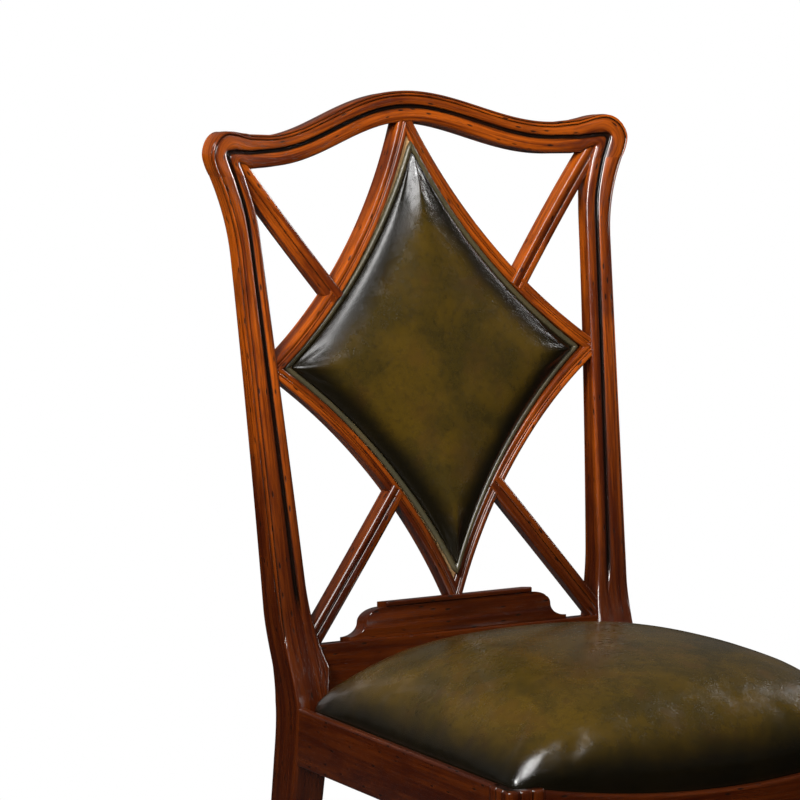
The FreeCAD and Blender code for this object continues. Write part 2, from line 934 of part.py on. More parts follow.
def across_at(offset, inward):
    return f"-Sizes.rail_outer - ({offset}) * tan({turn_text}) + ({inward}) / cos({turn_text})"


block_low = "Sizes.rail_top - Sizes.rebate_depth - Sizes.block_drop - Sizes.block_height"
rail_inside = "Sizes.rail_thick + Sizes.fit_gap"
rail_flange = f"{rail_inside} + Sizes.block_flange"
leg_inside = "Sizes.leg_size - Sizes.leg_proud + Sizes.fit_gap"
front_inside = "Sizes.side_rail_length + Sizes.leg_size - Sizes.leg_proud - Sizes.rail_thick"
front_flange = f"{front_inside} - Sizes.block_flange"
front_block = board(
    "front_block_blank",
    [
        ("Sizes.side_rail_length - Sizes.block_leg", rail_inside),
        ("Sizes.side_rail_length", rail_inside),
        ("Sizes.side_rail_length", leg_inside),
        (front_inside, leg_inside),
        (front_inside, f"{leg_inside} + Sizes.block_leg"),
        (front_flange, f"{leg_inside} + Sizes.block_leg"),
        (front_flange, f"{leg_inside} + Sizes.block_leg / 2"),
        ("Sizes.side_rail_length - Sizes.block_leg / 2", rail_flange),
        ("Sizes.side_rail_length - Sizes.block_leg", rail_flange),
    ],
    block_low,
    "Sizes.block_height",
)
front_block.Placement = side_place
post_inside = "Sizes.seat_post_width - Sizes.post_outer + Sizes.fit_gap"
rail_offset = "Sizes.fit_gap - Sizes.rear_rail_face"
flange_offset = f"{rail_offset} + Sizes.block_flange"
rear_end = f"{post_inside} + Sizes.block_leg"
rear_half_way = f"{post_inside} + Sizes.block_leg / 2"


def rear_corner(across, offset):
    inward = inward_at(across, offset)
    return along_at(offset, inward), inward


rear_block = board(
    "rear_block_blank",
    [
        (along_at("Sizes.fit_gap", rail_inside), rail_inside),
        rear_corner(post_inside, "Sizes.fit_gap"),
        rear_corner(post_inside, rail_offset),
        rear_corner(rear_end, rail_offset),
        rear_corner(rear_end, flange_offset),
        rear_corner(rear_half_way, flange_offset),
        ("Sizes.block_leg / 2", rail_flange),
        ("Sizes.block_leg", rail_flange),
        ("Sizes.block_leg", rail_inside),
    ],
    block_low,
    "Sizes.block_height",
)
rear_block.Placement = side_place
doc.recompute()

screw_height = ledge - size("block_drop") - size("block_height") / 2
screw_inset = size("block_leg") / 4
outward = side_turn.multVec(V(0, -1, 0))
forward = side_turn.multVec(V(1, 0, 0))


def screw(name, place, direction):
    # the head bears on the block's flange, the shank runs through it into the rail
    turn = FreeCAD.Rotation(V(0, 0, 1), direction)
    head = doc.addObject("Part::Cylinder", f"{name}_head")
    head.setExpression("Radius", "Sizes.screw_head_radius")
    head.setExpression("Height", "Sizes.screw_head_height")
    seat = place - direction * (size("block_flange") + gap)
    head.Placement = FreeCAD.Placement(seat - direction * size("screw_head_height"), turn)
    shank = doc.addObject("Part::Cylinder", f"{name}_shank")
    shank.setExpression("Radius", "Sizes.screw_radius")
    shank.setExpression("Height", "Sizes.block_flange + Sizes.fit_gap + Sizes.screw_bite")
    shank.Placement = FreeCAD.Placement(seat, turn)
    whole = doc.addObject("Part::Fuse", name)
    whole.Base = head
    whole.Tool = shank
    return whole


def screw_hole(place, direction):
    start = place - direction * (size("block_flange") + 2 * gap)
    length = size("block_flange") + size("screw_bite") + 3 * gap
    return Part.makeCylinder(size("screw_radius") + gap, length, start, direction)


rail_length = size("side_rail_length")
front_side = (
    side_frame(rail_length - size("block_leg") + screw_inset, size("rail_thick"), screw_height),
    outward,
)
front_end = (
    side_frame(
        rail_length + size("leg_size") - size("leg_proud") - size("rail_thick") + gap,
        size("leg_size") - size("leg_proud") + size("block_leg") - screw_inset,
        screw_height,
    ),
    forward,
)
rear_side = (side_frame(size("block_leg") - screw_inset, size("rail_thick"), screw_height), outward)
rear_across = size("seat_post_width") - size("post_outer") + size("block_leg") - screw_inset
rear_end_place = (V(rear_across, rear_face, screw_height), V(0, 1, 0))
left_screws = [
    screw("front_side_screw", *front_side),
    screw("front_end_screw", *front_end),
    screw("rear_side_screw", *rear_side),
    screw("rear_end_screw", *rear_end_place),
]
doc.recompute()
right_screws = [mirror_feature(f"right_{one.Name}", one) for one in left_screws]
screws = doc.addObject("Part::Compound", "corner_block_screws")
screws.Links = left_screws + right_screws
keep(screws, "corner_block_screws")

front_hole = screw_hole(*front_end)
rear_hole = screw_hole(*rear_end_place)
front_rail_shape = front_rail_shape.cut(front_hole).cut(mirrored(front_hole))
rear_rail_shape = rear_rail_shape.cut(rear_hole).cut(mirrored(rear_hole))
front_block_shape = scribe(front_block.Shape, (front_blank, V(0, gap, 0)))
front_block_shape = front_block_shape.cut(front_hole).cut(screw_hole(*front_side))
rear_block_shape = rear_block.Shape.cut(rear_hole).cut(screw_hole(*rear_side))
side_rail_shape = side_rail_shape.cut(screw_hole(*front_side)).cut(screw_hole(*rear_side))


# Posts with their mortises and dowel holes

post_mortise = tenon_box(*rear_tenon_span, tenon_side, gap)
post_shape = post_blank.cut(post_mortise).cut(rear_tenon(gap)).cut(dowel_hole)


# Back panel: a flat board, foam and leather crowned over it, piping round its edge

panel_radius = arm_inner + size("pad_gap")
panel_top = back_surface(0, middle_height + half_rise)
panel_bottom = back_surface(0, middle_height - half_rise)
panel_side = back_surface(size("diamond_half_width"), middle_height)
panel_slope = (panel_top - panel_bottom) / (2 * half_rise)
panel_line = ((panel_top + panel_bottom) / 2 + panel_side) / 2 + size("arm_setback")


panel_chords = 9


def panel_point(across, rise, back):
    return V(across, panel_line + panel_slope * rise + back, middle_height + rise)


def panel_outline(inset, back):
    # four concave sides, offset inwards by the inset
    radius = panel_radius + inset
    side, top = diamond_tips(radius)
    turn = (math.asin(bow_centre.y / radius) + math.acos(bow_centre.x / radius)) / 2
    across = bow_centre.x - radius * math.cos(turn)
    rise = bow_centre.y - radius * math.sin(turn)
    tips = [(side, 0), (0, top), (-side, 0), (0, -top)]
    waists = [(across, rise), (-across, rise), (-across, -rise), (across, -rise)]
    points = []
    for index in range(len(tips)):
        places = (tips[index], waists[index], tips[(index + 1) % len(tips)])
        points += chords(*[panel_point(*place, back) for place in places], panel_chords)[:-1]
    return points


def panel_sheet(inset, back, thick):
    return Part.Face(closed_wire(panel_outline(inset, back))).extrude(V(0, thick, 0))


pad_rim = 2 * (size("piping_radius") + gap)
crown_steps = (0, 0.05, 0.14, 0.3, 0.55, 0.85)
crown_power = 2.2


def crown_share(step):
    return math.sqrt(1 - (1 - step) ** crown_power)


def stacked(sections):
    # a solid between parallel outlines whose sides stay parallel, so that every facet is flat
    faces = [Part.Face(closed_wire(sections[0])), Part.Face(closed_wire(sections[-1]))]
    for low, high in zip(sections, sections[1:]):
        for index, corner in enumerate(low):
            ring = [low[index - 1], corner, high[index], high[index - 1]]
            faces.append(Part.Face(closed_wire(ring)))
    solid = Part.Solid(Part.Shell(faces))
    if solid.Volume < 0:
        solid.reverse()
    return solid


def drawn_in(rim, centre, step, rise):
    return [centre + (point - centre) * (1 - step) + rise for point in rim]


def crowned_pad(skin):
    # the foam, or the leather over it, seen as layers that draw in as they rise
    rim = panel_outline(pad_rim + skin, 0)
    sections = [[point + V(0, size("board_recess"), 0) for point in rim]]
    for step in crown_steps:
        rise = V(0, -(size("pad_crown") - skin) * crown_share(step), 0)
        sections.append(drawn_in(rim, panel_point(0, 0, 0), step, rise))
    return stacked(sections)


piping_sides = 10


def panel_piping():
    # a closed tube round the pad, mitred at the four tips
    path = panel_outline(size("piping_radius") + gap, size("piping_recess"))
    facing = V(0, 1, -panel_slope).normalize()
    sections = []
    for index, place in enumerate(path):
        before = (place - path[index - 1]).normalize()
        after = (path[(index + 1) % len(path)] - place).normalize()
        heading = (before + after).normalize()
        aside = heading.cross(facing) * (size("piping_radius") / heading.dot(before))
        ring = []
        for side in range(piping_sides):
            angle = 2 * math.pi * (side + 0.5) / piping_sides
            depth = facing * (size("piping_radius") * math.sin(angle))
            ring.append(place + aside * math.cos(angle) + depth)
        sections.append(closed_wire(ring))
    return Part.makeLoft(sections, True, True, True)


pad_foam = crowned_pad(size("pad_leather"))
pad_cover = crowned_pad(0).cut(pad_foam)
panel_board = panel_sheet(0, size("board_recess"), size("board_thick"))
panel_lining = panel_sheet(0, size("board_recess") + size("board_thick"), size("pad_leather"))
keep(solid_feature("back_panel_board", panel_board), "back_panel_board")
keep(solid_feature("back_panel_lining", panel_lining), "back_panel_lining")
keep(solid_feature("back_pad_foam", pad_foam), "back_pad_foam")
keep(solid_feature("back_pad_leather", largest(pad_cover)), "back_pad_leather")
keep(solid_feature("back_pad_piping", largest(panel_piping())), "back_pad_piping")


# Drop-in seat: a frame on the ledge, webbing, foam and leather, and a cover below

seat_start = 2 * size("seat_clearance")
seat_side = size("lip_width") + size("seat_clearance")
seat_end = size("side_rail_length") + size("leg_size") - size("leg_proud") - seat_side
frame_top = ledge + size("seat_frame_thick")
foam_base = frame_top + 2 * size("web_thick")
corner_chords = 5
front_chords = 12


def seat_outline(inset, height):
    # straight back and sides, bowed front, rounded corners
    inward = seat_side + inset
    offset = seat_start + inset
    round_off = size("seat_corner")
    across = inward / math.cos(math.radians(size("splay"))) - size("rail_outer")
    rear = V(across - offset * tangent("splay"), size("post_line") - offset, height)
    front = side_frame(seat_end - inset, inward, height)
    inwards = outward * -1
    middle = V(0, front_arc(inward, abs(leg_corner.x))[1].y, height)

    def corner(place, first, second):
        near = place + (first + second) * (round_off * corner_share)
        return chords(place + first * round_off, near, place + second * round_off, corner_chords)

    def flipped(points):
        return [V(-point.x, point.y, point.z) for point in reversed(points)]

    left = corner(rear, V(1, 0, 0), forward) + corner(front, forward * -1, inwards)
    right = flipped(left)
    return left + chords(left[-1], middle, right[0], front_chords)[1:-1] + right


seat_steps = (0, 0.025, 0.07, 0.15, 0.28, 0.46, 0.7)


def seat_dome(skin):
    # rings drawn in from the rim, each point lifted by how far it lies from the sides and the ends
    rim_height = foam_base + size("seat_rim")
    rim = seat_outline(skin, rim_height)
    rear, front = rim[0].y, min(point.y for point in rim)
    centre = V(0, (rear + front) / 2, rim_height)
    widest = max(rim, key=lambda point: point.x)

    def lifted(point):
        along = ramp(point.y, rear, front)
        half = widest.x + (point.y - widest.y) * -tangent("splay")
        aside = min(abs(point.x) / half, 1) ** size("seat_edge_power")
        ahead = abs(2 * along - 1) ** size("seat_edge_power")
        share = ((1 - aside) * (1 - ahead)) ** size("seat_crown_power")
        return point + V(0, 0, (size("seat_crown") - skin) * share)

    rings = [rim]
    for step in seat_steps[1:]:
        rings.append([lifted(point) for point in drawn_in(rim, centre, step, V(0, 0, 0))])
    return rings, lifted(centre)


def facets(low, high):
    faces = []
    for index, corner in enumerate(low):
        faces.append(Part.Face(closed_wire([low[index - 1], corner, high[index]])))
        faces.append(Part.Face(closed_wire([low[index - 1], high[index], high[index - 1]])))
    return faces


def crowned_seat(skin, low):
    rings, top = seat_dome(skin)
    base = [V(point.x, point.y, low) for point in rings[0]]
    faces = [Part.Face(closed_wire(base))]
    for below, above in zip([base] + rings, rings):
        faces += facets(below, above)
    for index, corner in enumerate(rings[-1]):
        faces.append(Part.Face(closed_wire([rings[-1][index - 1], corner, top])))
    solid = Part.Solid(Part.Shell(faces))
    if solid.Volume < 0:
        solid.reverse()
    return solid


seat_foam = crowned_seat(size("seat_leather") + gap, foam_base)
seat_void = crowned_seat(size("seat_leather") + gap, ledge)
keep(solid_feature("seat_foam", seat_foam), "seat_foam")
seat_hide = largest(crowned_seat(0, ledge).cut(seat_void))
keep(solid_feature("seat_leather", seat_hide), "seat_leather")

ledge_text = "Sizes.rail_top - Sizes.rebate_depth"
member_outer = "Sizes.lip_width + Sizes.seat_clearance + Sizes.seat_leather + 2 * Sizes.fit_gap"
member_inner = f"{member_outer} + Sizes.seat_frame_width"
member_rear = "2 * Sizes.seat_clearance + Sizes.seat_leather + 2 * Sizes.fit_gap"
member_front = (
    "Sizes.side_rail_length + Sizes.leg_size - Sizes.leg_proud - Sizes.lip_width"
    " - Sizes.seat_clearance - Sizes.seat_leather - 2 * Sizes.fit_gap"
)
side_member = board(
    "left_seat_member",
    [
        (along_at(member_rear, f"{member_outer} + Sizes.seat_corner"), f"{member_outer} + Sizes.seat_corner"),
        (f"{along_at(member_rear, member_outer)} + Sizes.seat_corner", member_outer),
        (f"{member_front} - Sizes.seat_corner", member_outer),
        (member_front, f"{member_outer} + Sizes.seat_corner"),
        (member_front, member_inner),
        (along_at(member_rear, member_inner), member_inner),
    ],
    ledge_text,
    "Sizes.seat_frame_thick",
)
side_member.Placement = side_place
doc.recompute()
keep(side_member, "seat_frame_left")
keep(mirror_feature("right_seat_member", side_member), "seat_frame_right")


def cross_member(name, offset):
    # a member between the two side members, from the offset forwards by its own width
    far = f"{offset} + Sizes.seat_frame_width"
    inner = f"{member_inner} + Sizes.fit_gap"
    near_half = across_at(offset, inner)
    far_half = across_at(far, inner)
    corners = [
        (near_half, f"Sizes.post_line - ({offset})"),
        (f"-({near_half})", f"Sizes.post_line - ({offset})"),
        (f"-({far_half})", f"Sizes.post_line - ({far})"),
        (far_half, f"Sizes.post_line - ({far})"),
    ]
    return board(name, corners, ledge_text, "Sizes.seat_frame_thick")


front_reach = f"({member_front}) * cos({turn_text}) + ({member_outer}) * sin({turn_text})"
keep(cross_member("rear_seat_member", member_rear), "seat_frame_rear")
keep(cross_member("front_seat_member", f"{front_reach} - Sizes.seat_frame_width"), "seat_frame_front")

cover_side = "Sizes.rail_thick + Sizes.cover_margin"
cover_rear = f"{member_rear} + Sizes.cover_margin"
cover_front = f"{front_reach} - Sizes.rail_thick - Sizes.cover_margin"
cover = board(
    "seat_cover_sheet",
    [
        (across_at(cover_rear, cover_side), f"Sizes.post_line - ({cover_rear})"),
        (f"-({across_at(cover_rear, cover_side)})", f"Sizes.post_line - ({cover_rear})"),
        (f"-({across_at(cover_front, cover_side)})", f"Sizes.post_line - ({cover_front})"),
        (across_at(cover_front, cover_side), f"Sizes.post_line - ({cover_front})"),
    ],
    f"{ledge_text} - Sizes.cover_thick",
    "Sizes.cover_thick",
)
keep(cover, "seat_dust_cover")

long_straps = 4
cross_straps = 4


web_near = "Sizes.post_line - 2 * Sizes.seat_clearance - Sizes.seat_leather - Sizes.seat_frame_width / 2"
web_far = f"Sizes.post_line - ({front_reach}) + Sizes.seat_frame_width / 2"
web_low = f"{ledge_text} + Sizes.seat_frame_thick"
straps = []
for index in range(long_straps):
    middle = f"({index} - ({long_straps} - 1) / 2) * Sizes.web_pitch"
    place = (f"{middle} - Sizes.web_width / 2", web_far, web_low)
    run = f"{web_near} - ({web_far})"
    straps.append(block(f"long_strap_{index}", "Sizes.web_width", run, "Sizes.web_thick", place))
for index in range(cross_straps):
    room = f"{web_near} - ({web_far}) - Sizes.web_width"
    line = f"{web_far} + ({room}) * {index} / ({cross_straps} - 1)"
    offset = f"Sizes.post_line - ({line}) - Sizes.web_width"
    end = across_at(offset, f"{member_outer} + Sizes.seat_frame_width / 2")
    place = (end, line, f"{web_low} + Sizes.web_thick")
    straps.append(block(f"cross_strap_{index}", f"-2 * ({end})", "Sizes.web_width", "Sizes.web_thick", place))
webbing = doc.addObject("Part::Compound", "seat_webbing")
webbing.Links = straps
keep(webbing, "seat_webbing")


# Glides under the four feet

def glide(name, place):
    cone = doc.addObject("Part::Cone", name)
    cone.setExpression("Radius1", "Sizes.glide_toe_radius")
    cone.setExpression("Radius2", "Sizes.glide_radius")
    cone.setExpression("Height", "Sizes.glide_height")
    cone.Placement = FreeCAD.Placement(place, FreeCAD.Rotation())
    return cone


foot_middle = leg_start + size("leg_size") - size("leg_foot") / 2
front_foot = side_frame(foot_middle, leg_side + size("leg_foot") / 2, 0)
rear_middle = sum(post_edges(size("glide_height"))) / 2
rear_foot = on_post(-rear_middle, size("glide_height"))
rear_foot += V(0, post_depth(size("glide_height")) / 2, -size("glide_height"))
feet = [front_foot, V(-front_foot.x, front_foot.y, 0), rear_foot, V(-rear_foot.x, rear_foot.y, 0)]
glides = doc.addObject("Part::Compound", "foot_glides")
glides.Links = [glide(f"glide_{index}", place) for index, place in enumerate(feet)]
keep(glides, "foot_glides")

for name, shape in (
    ("back_post", largest(post_shape)),
    ("side_rail", largest(side_rail_shape)),
    ("front_leg", largest(leg_shape)),
    ("upper_diamond_arm", upper_arm),
    ("lower_diamond_arm", lower_arm),
    ("upper_strut", upper_strut),
    ("lower_strut", lower_strut),
    ("front_corner_block", largest(front_block_shape)),
    ("rear_corner_block", largest(rear_block_shape)),
):
    left = keep(solid_feature(f"left_{name}", shape), f"left_{name}")
    keep(mirror_feature(f"right_{name}", left), f"right_{name}")
keep(solid_feature("front_rail", largest(front_rail_shape)), "front_rail")
keep(solid_feature("rear_rail", largest(rear_rail_shape)), "rear_rail")
keep(solid_feature("back_shoe", shoe_shape), "back_shoe")


# Nothing is written unless every object holds

doc.recompute()
for obj in doc.Objects:
    if "Invalid" in obj.State or "Error" in obj.State:
        raise RuntimeError(f"{obj.Name} failed: {obj.State}")
for obj in nodes:
    if obj.Shape.isNull() or not obj.Shape.isValid():
        raise RuntimeError(f"{obj.Label} has no valid shape")
os.makedirs("parts", exist_ok=True)
for obj in nodes:
    obj.Shape.exportStep(f"parts/{obj.Label}.step")
    print(obj.Label, len(obj.Shape.Solids), round(obj.Shape.Volume))
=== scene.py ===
import bmesh
import bpy
import math
import numpy as np
from mathutils import Matrix, Vector


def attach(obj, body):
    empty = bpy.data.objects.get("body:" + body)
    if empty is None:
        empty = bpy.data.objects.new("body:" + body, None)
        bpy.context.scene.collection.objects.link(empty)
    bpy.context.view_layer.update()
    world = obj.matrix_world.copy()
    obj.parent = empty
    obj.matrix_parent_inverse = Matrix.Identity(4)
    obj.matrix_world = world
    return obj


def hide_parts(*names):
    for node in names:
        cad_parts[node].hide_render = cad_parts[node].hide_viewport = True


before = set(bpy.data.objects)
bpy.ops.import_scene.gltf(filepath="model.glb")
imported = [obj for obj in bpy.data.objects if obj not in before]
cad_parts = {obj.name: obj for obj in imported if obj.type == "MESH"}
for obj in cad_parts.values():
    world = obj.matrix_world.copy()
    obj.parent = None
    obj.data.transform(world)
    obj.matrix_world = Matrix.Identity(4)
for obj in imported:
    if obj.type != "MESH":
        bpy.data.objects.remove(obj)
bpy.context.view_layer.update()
scene = bpy.context.scene
mm = 0.001


# shader maths: a socket that can be added, multiplied and compared

class Wire:
    def __init__(self, tree, socket):
        self.tree, self.socket = tree, socket

    def sum(self, kind, first, second):
        node = self.tree.nodes.new("ShaderNodeMath")
        node.operation = kind
        for slot, value in zip(node.inputs, (first, second)):
            if isinstance(value, Wire):
                self.tree.links.new(value.socket, slot)
            else:
                slot.default_value = value
        return Wire(self.tree, node.outputs[0])

    def __add__(self, other):
        return self.sum("ADD", self, other)

    def __radd__(self, other):
        return self.sum("ADD", other, self)

    def __sub__(self, other):
        return self.sum("SUBTRACT", self, other)

    def __rsub__(self, other):
        return self.sum("SUBTRACT", other, self)

    def __mul__(self, other):
        return self.sum("MULTIPLY", self, other)

    def __gt__(self, other):
        return self.sum("GREATER_THAN", self, other)


class Finish:
    # one material, or the world, and the nodes that make it
    def __init__(self, name, owner=None):
        self.owner = owner or bpy.data.materials.new(name)
        self.owner.use_nodes = True
        self.tree = self.owner.node_tree
        self.tree.nodes.clear()

    def add(self, kind, settings=None, sockets=None, out=0):
        node = self.tree.nodes.new(kind)
        for key, value in (settings or {}).items():
            setattr(node, key, value)
        for key, value in (sockets or {}).items():
            if isinstance(value, Wire):
                self.tree.links.new(value.socket, node.inputs[key])
            else:
                node.inputs[key].default_value = value
        return Wire(self.tree, node.outputs[out]) if len(node.outputs) else None

    def stretch(self, vector, scale, shift=(0, 0, 0)):
        return self.add("ShaderNodeMapping", {}, {"Vector": vector, "Scale": scale, "Location": shift})

    def noise(self, vector, scale=1.0, detail=4.0, rough=0.55, warp=0.0):
        sockets = {"Vector": vector, "Scale": scale, "Detail": detail, "Roughness": rough, "Distortion": warp}
        return self.add("ShaderNodeTexNoise", {}, sockets)

    def cells(self, vector, scale, feature="F1", out=0):
        return self.add("ShaderNodeTexVoronoi", {"feature": feature}, {"Vector": vector, "Scale": scale}, out)

    def fade(self, value, low, high, start=0.0, end=1.0):
        sockets = {"Value": value, "From Min": low, "From Max": high, "To Min": start, "To Max": end}
        return self.add("ShaderNodeMapRange", {"interpolation_type": "SMOOTHSTEP", "clamp": True}, sockets)

    def mix(self, factor, first, second):
        settings = {"data_type": "RGBA", "clamp_factor": True}
        return self.add("ShaderNodeMix", settings, {0: factor, 6: first, 7: second}, 2)

    def bump(self, height, strength, distance):
        return self.add("ShaderNodeBump", {}, {"Height": height, "Strength": strength, "Distance": distance})

    def attribute(self, name, out=2):
        return self.add("ShaderNodeAttribute", {"attribute_name": name}, {}, out)

    def objectPlace(self):
        return self.add("ShaderNodeTexCoord", {}, {}, 3)

    def rays(self):
        # camera rays, glossy rays and rays through clear things
        kinds = self.add("ShaderNodeLightPath").socket.node.outputs
        return [Wire(self.tree, kinds[f"Is {kind} Ray"]) for kind in ("Camera", "Glossy", "Transmission")]

    def shade(self, **sockets):
        named = {key.replace("_", " "): value for key, value in sockets.items()}
        self.add("ShaderNodeOutputMaterial", {}, {"Surface": self.add("ShaderNodeBsdfPrincipled", {}, named)})
        return self.owner


def rgb(red, green, blue):
    # a colour as it is read off a screen, from 0 to 255
    def plain(value):
        share = value / 255
        return share / 12.92 if share <= 0.04045 else ((share + 0.055) / 1.055) ** 2.4
    return (plain(red), plain(green), plain(blue), 1)


# finishes

# the near-black colour marks specks, and dirt and painted shade in the grooves; low is painted shade for the wood near
# the seat and below it
mahoganyLook = {
    "light": rgb(176, 84, 14), "middle": rgb(106, 39, 5), "deep": rgb(36, 9, 2),
    "grimeAndShade": rgb(8, 3, 1), "patina": rgb(66, 20, 4), "low": rgb(36, 8, 2), "roughness": 0.3,
}


def makeMahogany():
    look = mahoganyLook
    wood = Finish("mahogany")
    grain = wood.attribute("grain", 1)
    height = wood.add("ShaderNodeSeparateXYZ", {}, {0: wood.objectPlace()}, 2)
    streak = wood.noise(wood.stretch(grain, (4, 95, 95)), 1, 5, 0.62, 0.6)
    fine = wood.noise(wood.stretch(grain, (14, 480, 480)), 1, 4, 0.6)
    pores = wood.noise(wood.stretch(grain, (80, 1700, 1700)), 1, 2, 0.5)
    cloud = wood.noise(wood.stretch(grain, (9, 22, 22), (3, 1, 2)), 1, 4, 0.6)
    body = wood.mix(wood.fade(streak + (fine - 0.5) * 0.5, 0.33, 0.67), look["deep"], look["light"])
    body = wood.mix(0.42, body, look["middle"])
    body = wood.mix(wood.fade(cloud, 0.45, 0.68) * 0.8, body, look["patina"])
    poreMask = wood.fade(pores, 0.58, 0.7)
    body = wood.mix(poreMask * 0.5, body, look["deep"])
    # painted shade: the wood grows darker downwards from about 780 mm to the seat and below, where less light falls
    body = wood.mix(wood.fade(height, 0.78, 0.5) * 0.84, body, look["low"])
    # scattered knocks, specks and worm holes of an old finish
    warped = wood.stretch(grain, (60, 210, 210))
    chance = wood.add("ShaderNodeSeparateColor", {}, {0: wood.cells(warped, 1.0, "F1", 1)}, 0)
    speck = wood.fade(wood.cells(warped, 1.0), 0.12, 0.26, 1, 0) * (chance > 0.66)
    dents = wood.stretch(grain, (42, 90, 90), (9, 4, 1))
    dent = wood.fade(wood.noise(dents, 1, 6, 0.75), 0.63, 0.72)
    # quirks, grooves, back corners and the undersides of edges darken by each point's value: dirt and painted shade
    grimeAndShade = wood.attribute("grimeAndShade")
    dirtAndShade = wood.fade(grimeAndShade + (streak - 0.5) * 0.5, 0.25, 0.85)
    body = wood.mix(dent * 0.6, body, look["deep"])
    body = wood.mix(speck * 0.9, body, look["grimeAndShade"])
    body = wood.mix(dirtAndShade, body, look["grimeAndShade"])
    shine = look["roughness"] + (cloud - 0.5) * 0.2 + (fine - 0.5) * 0.1 + speck * 0.2
    relief = wood.bump((poreMask + speck * 2 + dent) * -1 + (cloud - 0.5) * 0.6, 0.4, 0.0006)
    return wood.shade(Base_Color=body, Roughness=shine, Normal=relief, Specular_IOR_Level=0.12,
                      Coat_Weight=0.8 - speck * 0.3, Coat_Roughness=0.09)


leatherLook = {
    "olive": rgb(68, 51, 8), "brown": rgb(72, 46, 12), "moss": rgb(50, 39, 8), "burnish": rgb(7, 6, 3),
    "grey": rgb(70, 70, 58), "roughness": 0.27, "grainScale": 700,
}


def makeLeather(name, burnishStart, burnishEnd, grey=0.0):
    look = leatherLook
    hide = Finish(name)
    place = hide.objectPlace()
    cloud = hide.noise(place, 15, 5, 0.6, 0.4)
    blot = hide.noise(hide.stretch(place, (1, 1, 1), (4, 2, 7)), 26, 5, 0.65)
    mottle = hide.noise(place, 160, 4, 0.7)
    body = hide.mix(hide.fade(cloud, 0.36, 0.64), look["moss"], look["olive"])
    body = hide.mix(hide.fade(blot, 0.5, 0.7) * 0.35, body, look["brown"])
    body = hide.mix(hide.fade(mottle, 0.42, 0.75) * 0.35, body, look["burnish"])
    rim = hide.attribute("rim")
    dark = hide.fade(rim + (blot - 0.5) * 0.22, burnishStart, burnishEnd)
    body = hide.mix(dark * 0.94, body, look["burnish"])
    if grey:
        body = hide.mix(grey, body, look["grey"])
    # pebbled grain, hair creases and a few longer wrinkles
    pebble = hide.cells(place, look["grainScale"], "DISTANCE_TO_EDGE")
    creaseField = hide.noise(hide.stretch(place, (1, 1, 1), (1, 5, 3)), 42, 5, 0.7, 1.4)
    crease = hide.fade(creaseField.sum("ABSOLUTE", creaseField - 0.5, 0.0), 0, 0.018, 1, 0)
    height = hide.fade(pebble, 0, 0.25) * 0.5 + (mottle - 0.5) * 0.5 - crease * 0.6
    relief = hide.bump(height, 0.22, 0.0004)
    shine = look["roughness"] + (blot - 0.5) * 0.16 + (mottle - 0.5) * 0.12 - dark * 0.06
    return hide.shade(Base_Color=body, Roughness=shine, Normal=relief, Specular_IOR_Level=0.42, Coat_Weight=0.35,
                      Coat_Roughness=0.16)


def makePlainWood(name, light, dark):
    # pale framing timber, with its grain along the longest run
    wood = Finish(name)
    place = wood.objectPlace()
    streak = wood.noise(wood.stretch(place, (8, 60, 160)), 1, 5, 0.6, 0.4)
    fleck = wood.noise(wood.stretch(place, (60, 420, 700)), 1, 3, 0.6)
    body = wood.mix(wood.fade(streak, 0.32, 0.7), dark, light)
    body = wood.mix(wood.fade(fleck, 0.6, 0.75) * 0.5, body, dark)
    relief = wood.bump(fleck, 0.2, 0.0004)
    return wood.shade(Base_Color=body, Roughness=0.55 + (streak - 0.5) * 0.2, Normal=relief)


def makeWoven(name, light, dark, pitch):
    # a plain over and under weave from two crossed waves
    cloth = Finish(name)
    place = cloth.objectPlace()
    sockets = {"Vector": place, "Scale": pitch, "Distortion": 0.3}
    warp, weft = [cloth.add("ShaderNodeTexWave", {"bands_direction": run}, sockets, 1) for run in "XY"]
    slub = cloth.noise(place, 300, 3, 0.6)
    weave = warp * weft
    body = cloth.mix(cloth.fade(weave + (slub - 0.5) * 0.5, 0.1, 0.7), dark, light)
    relief = cloth.bump(weave, 0.4, 0.0006)
    return cloth.shade(Base_Color=body, Roughness=0.85 + (slub - 0.5) * 0.2, Normal=relief)


def makeMetal(name, colour, rough):
    metal = Finish(name)
    place = metal.objectPlace()
    wear = metal.noise(place, 900, 4, 0.7)
    body = metal.mix(metal.fade(wear, 0.5, 0.8) * 0.5, colour, rgb(70, 62, 52))
    return metal.shade(Base_Color=body, Metallic=1.0, Roughness=rough + (wear - 0.5) * 0.3,
                       Normal=metal.bump(wear, 0.15, 0.0003))


def makeNylon():
    nylon = Finish("glideNylon")
    place = nylon.objectPlace()
    scuff = nylon.noise(nylon.stretch(place, (300, 60, 300)), 1, 4, 0.7)
    body = nylon.mix(nylon.fade(scuff, 0.45, 0.75), rgb(58, 40, 26), rgb(92, 72, 54))
    return nylon.shade(Base_Color=body, Roughness=0.5 + (scuff - 0.5) * 0.3, Normal=nylon.bump(scuff, 0.2, 0.0004))


mahogany = makeMahogany()
padHide = makeLeather("padLeather", 0.3, 0.85)
seatHide = makeLeather("seatLeather", 0.45, 1.0)
pipingHide = makeLeather("pipingLeather", 2.0, 3.0, 0.45)
liningHide = makeLeather("liningLeather", 0.8, 1.2)
beech = makePlainWood("frameBeech", rgb(196, 160, 112), rgb(158, 118, 74))
jute = makeWoven("webbingJute", rgb(178, 146, 96), rgb(98, 72, 40), 260)
cambric = makeWoven("dustCambric", rgb(40, 38, 36), rgb(14, 13, 12), 420)
steel = makeMetal("screwSteel", rgb(196, 186, 160), 0.35)
tackIron = makeMetal("tackIron", rgb(96, 92, 88), 0.45)
nylon = makeNylon()
print("finishes made")


# meshes

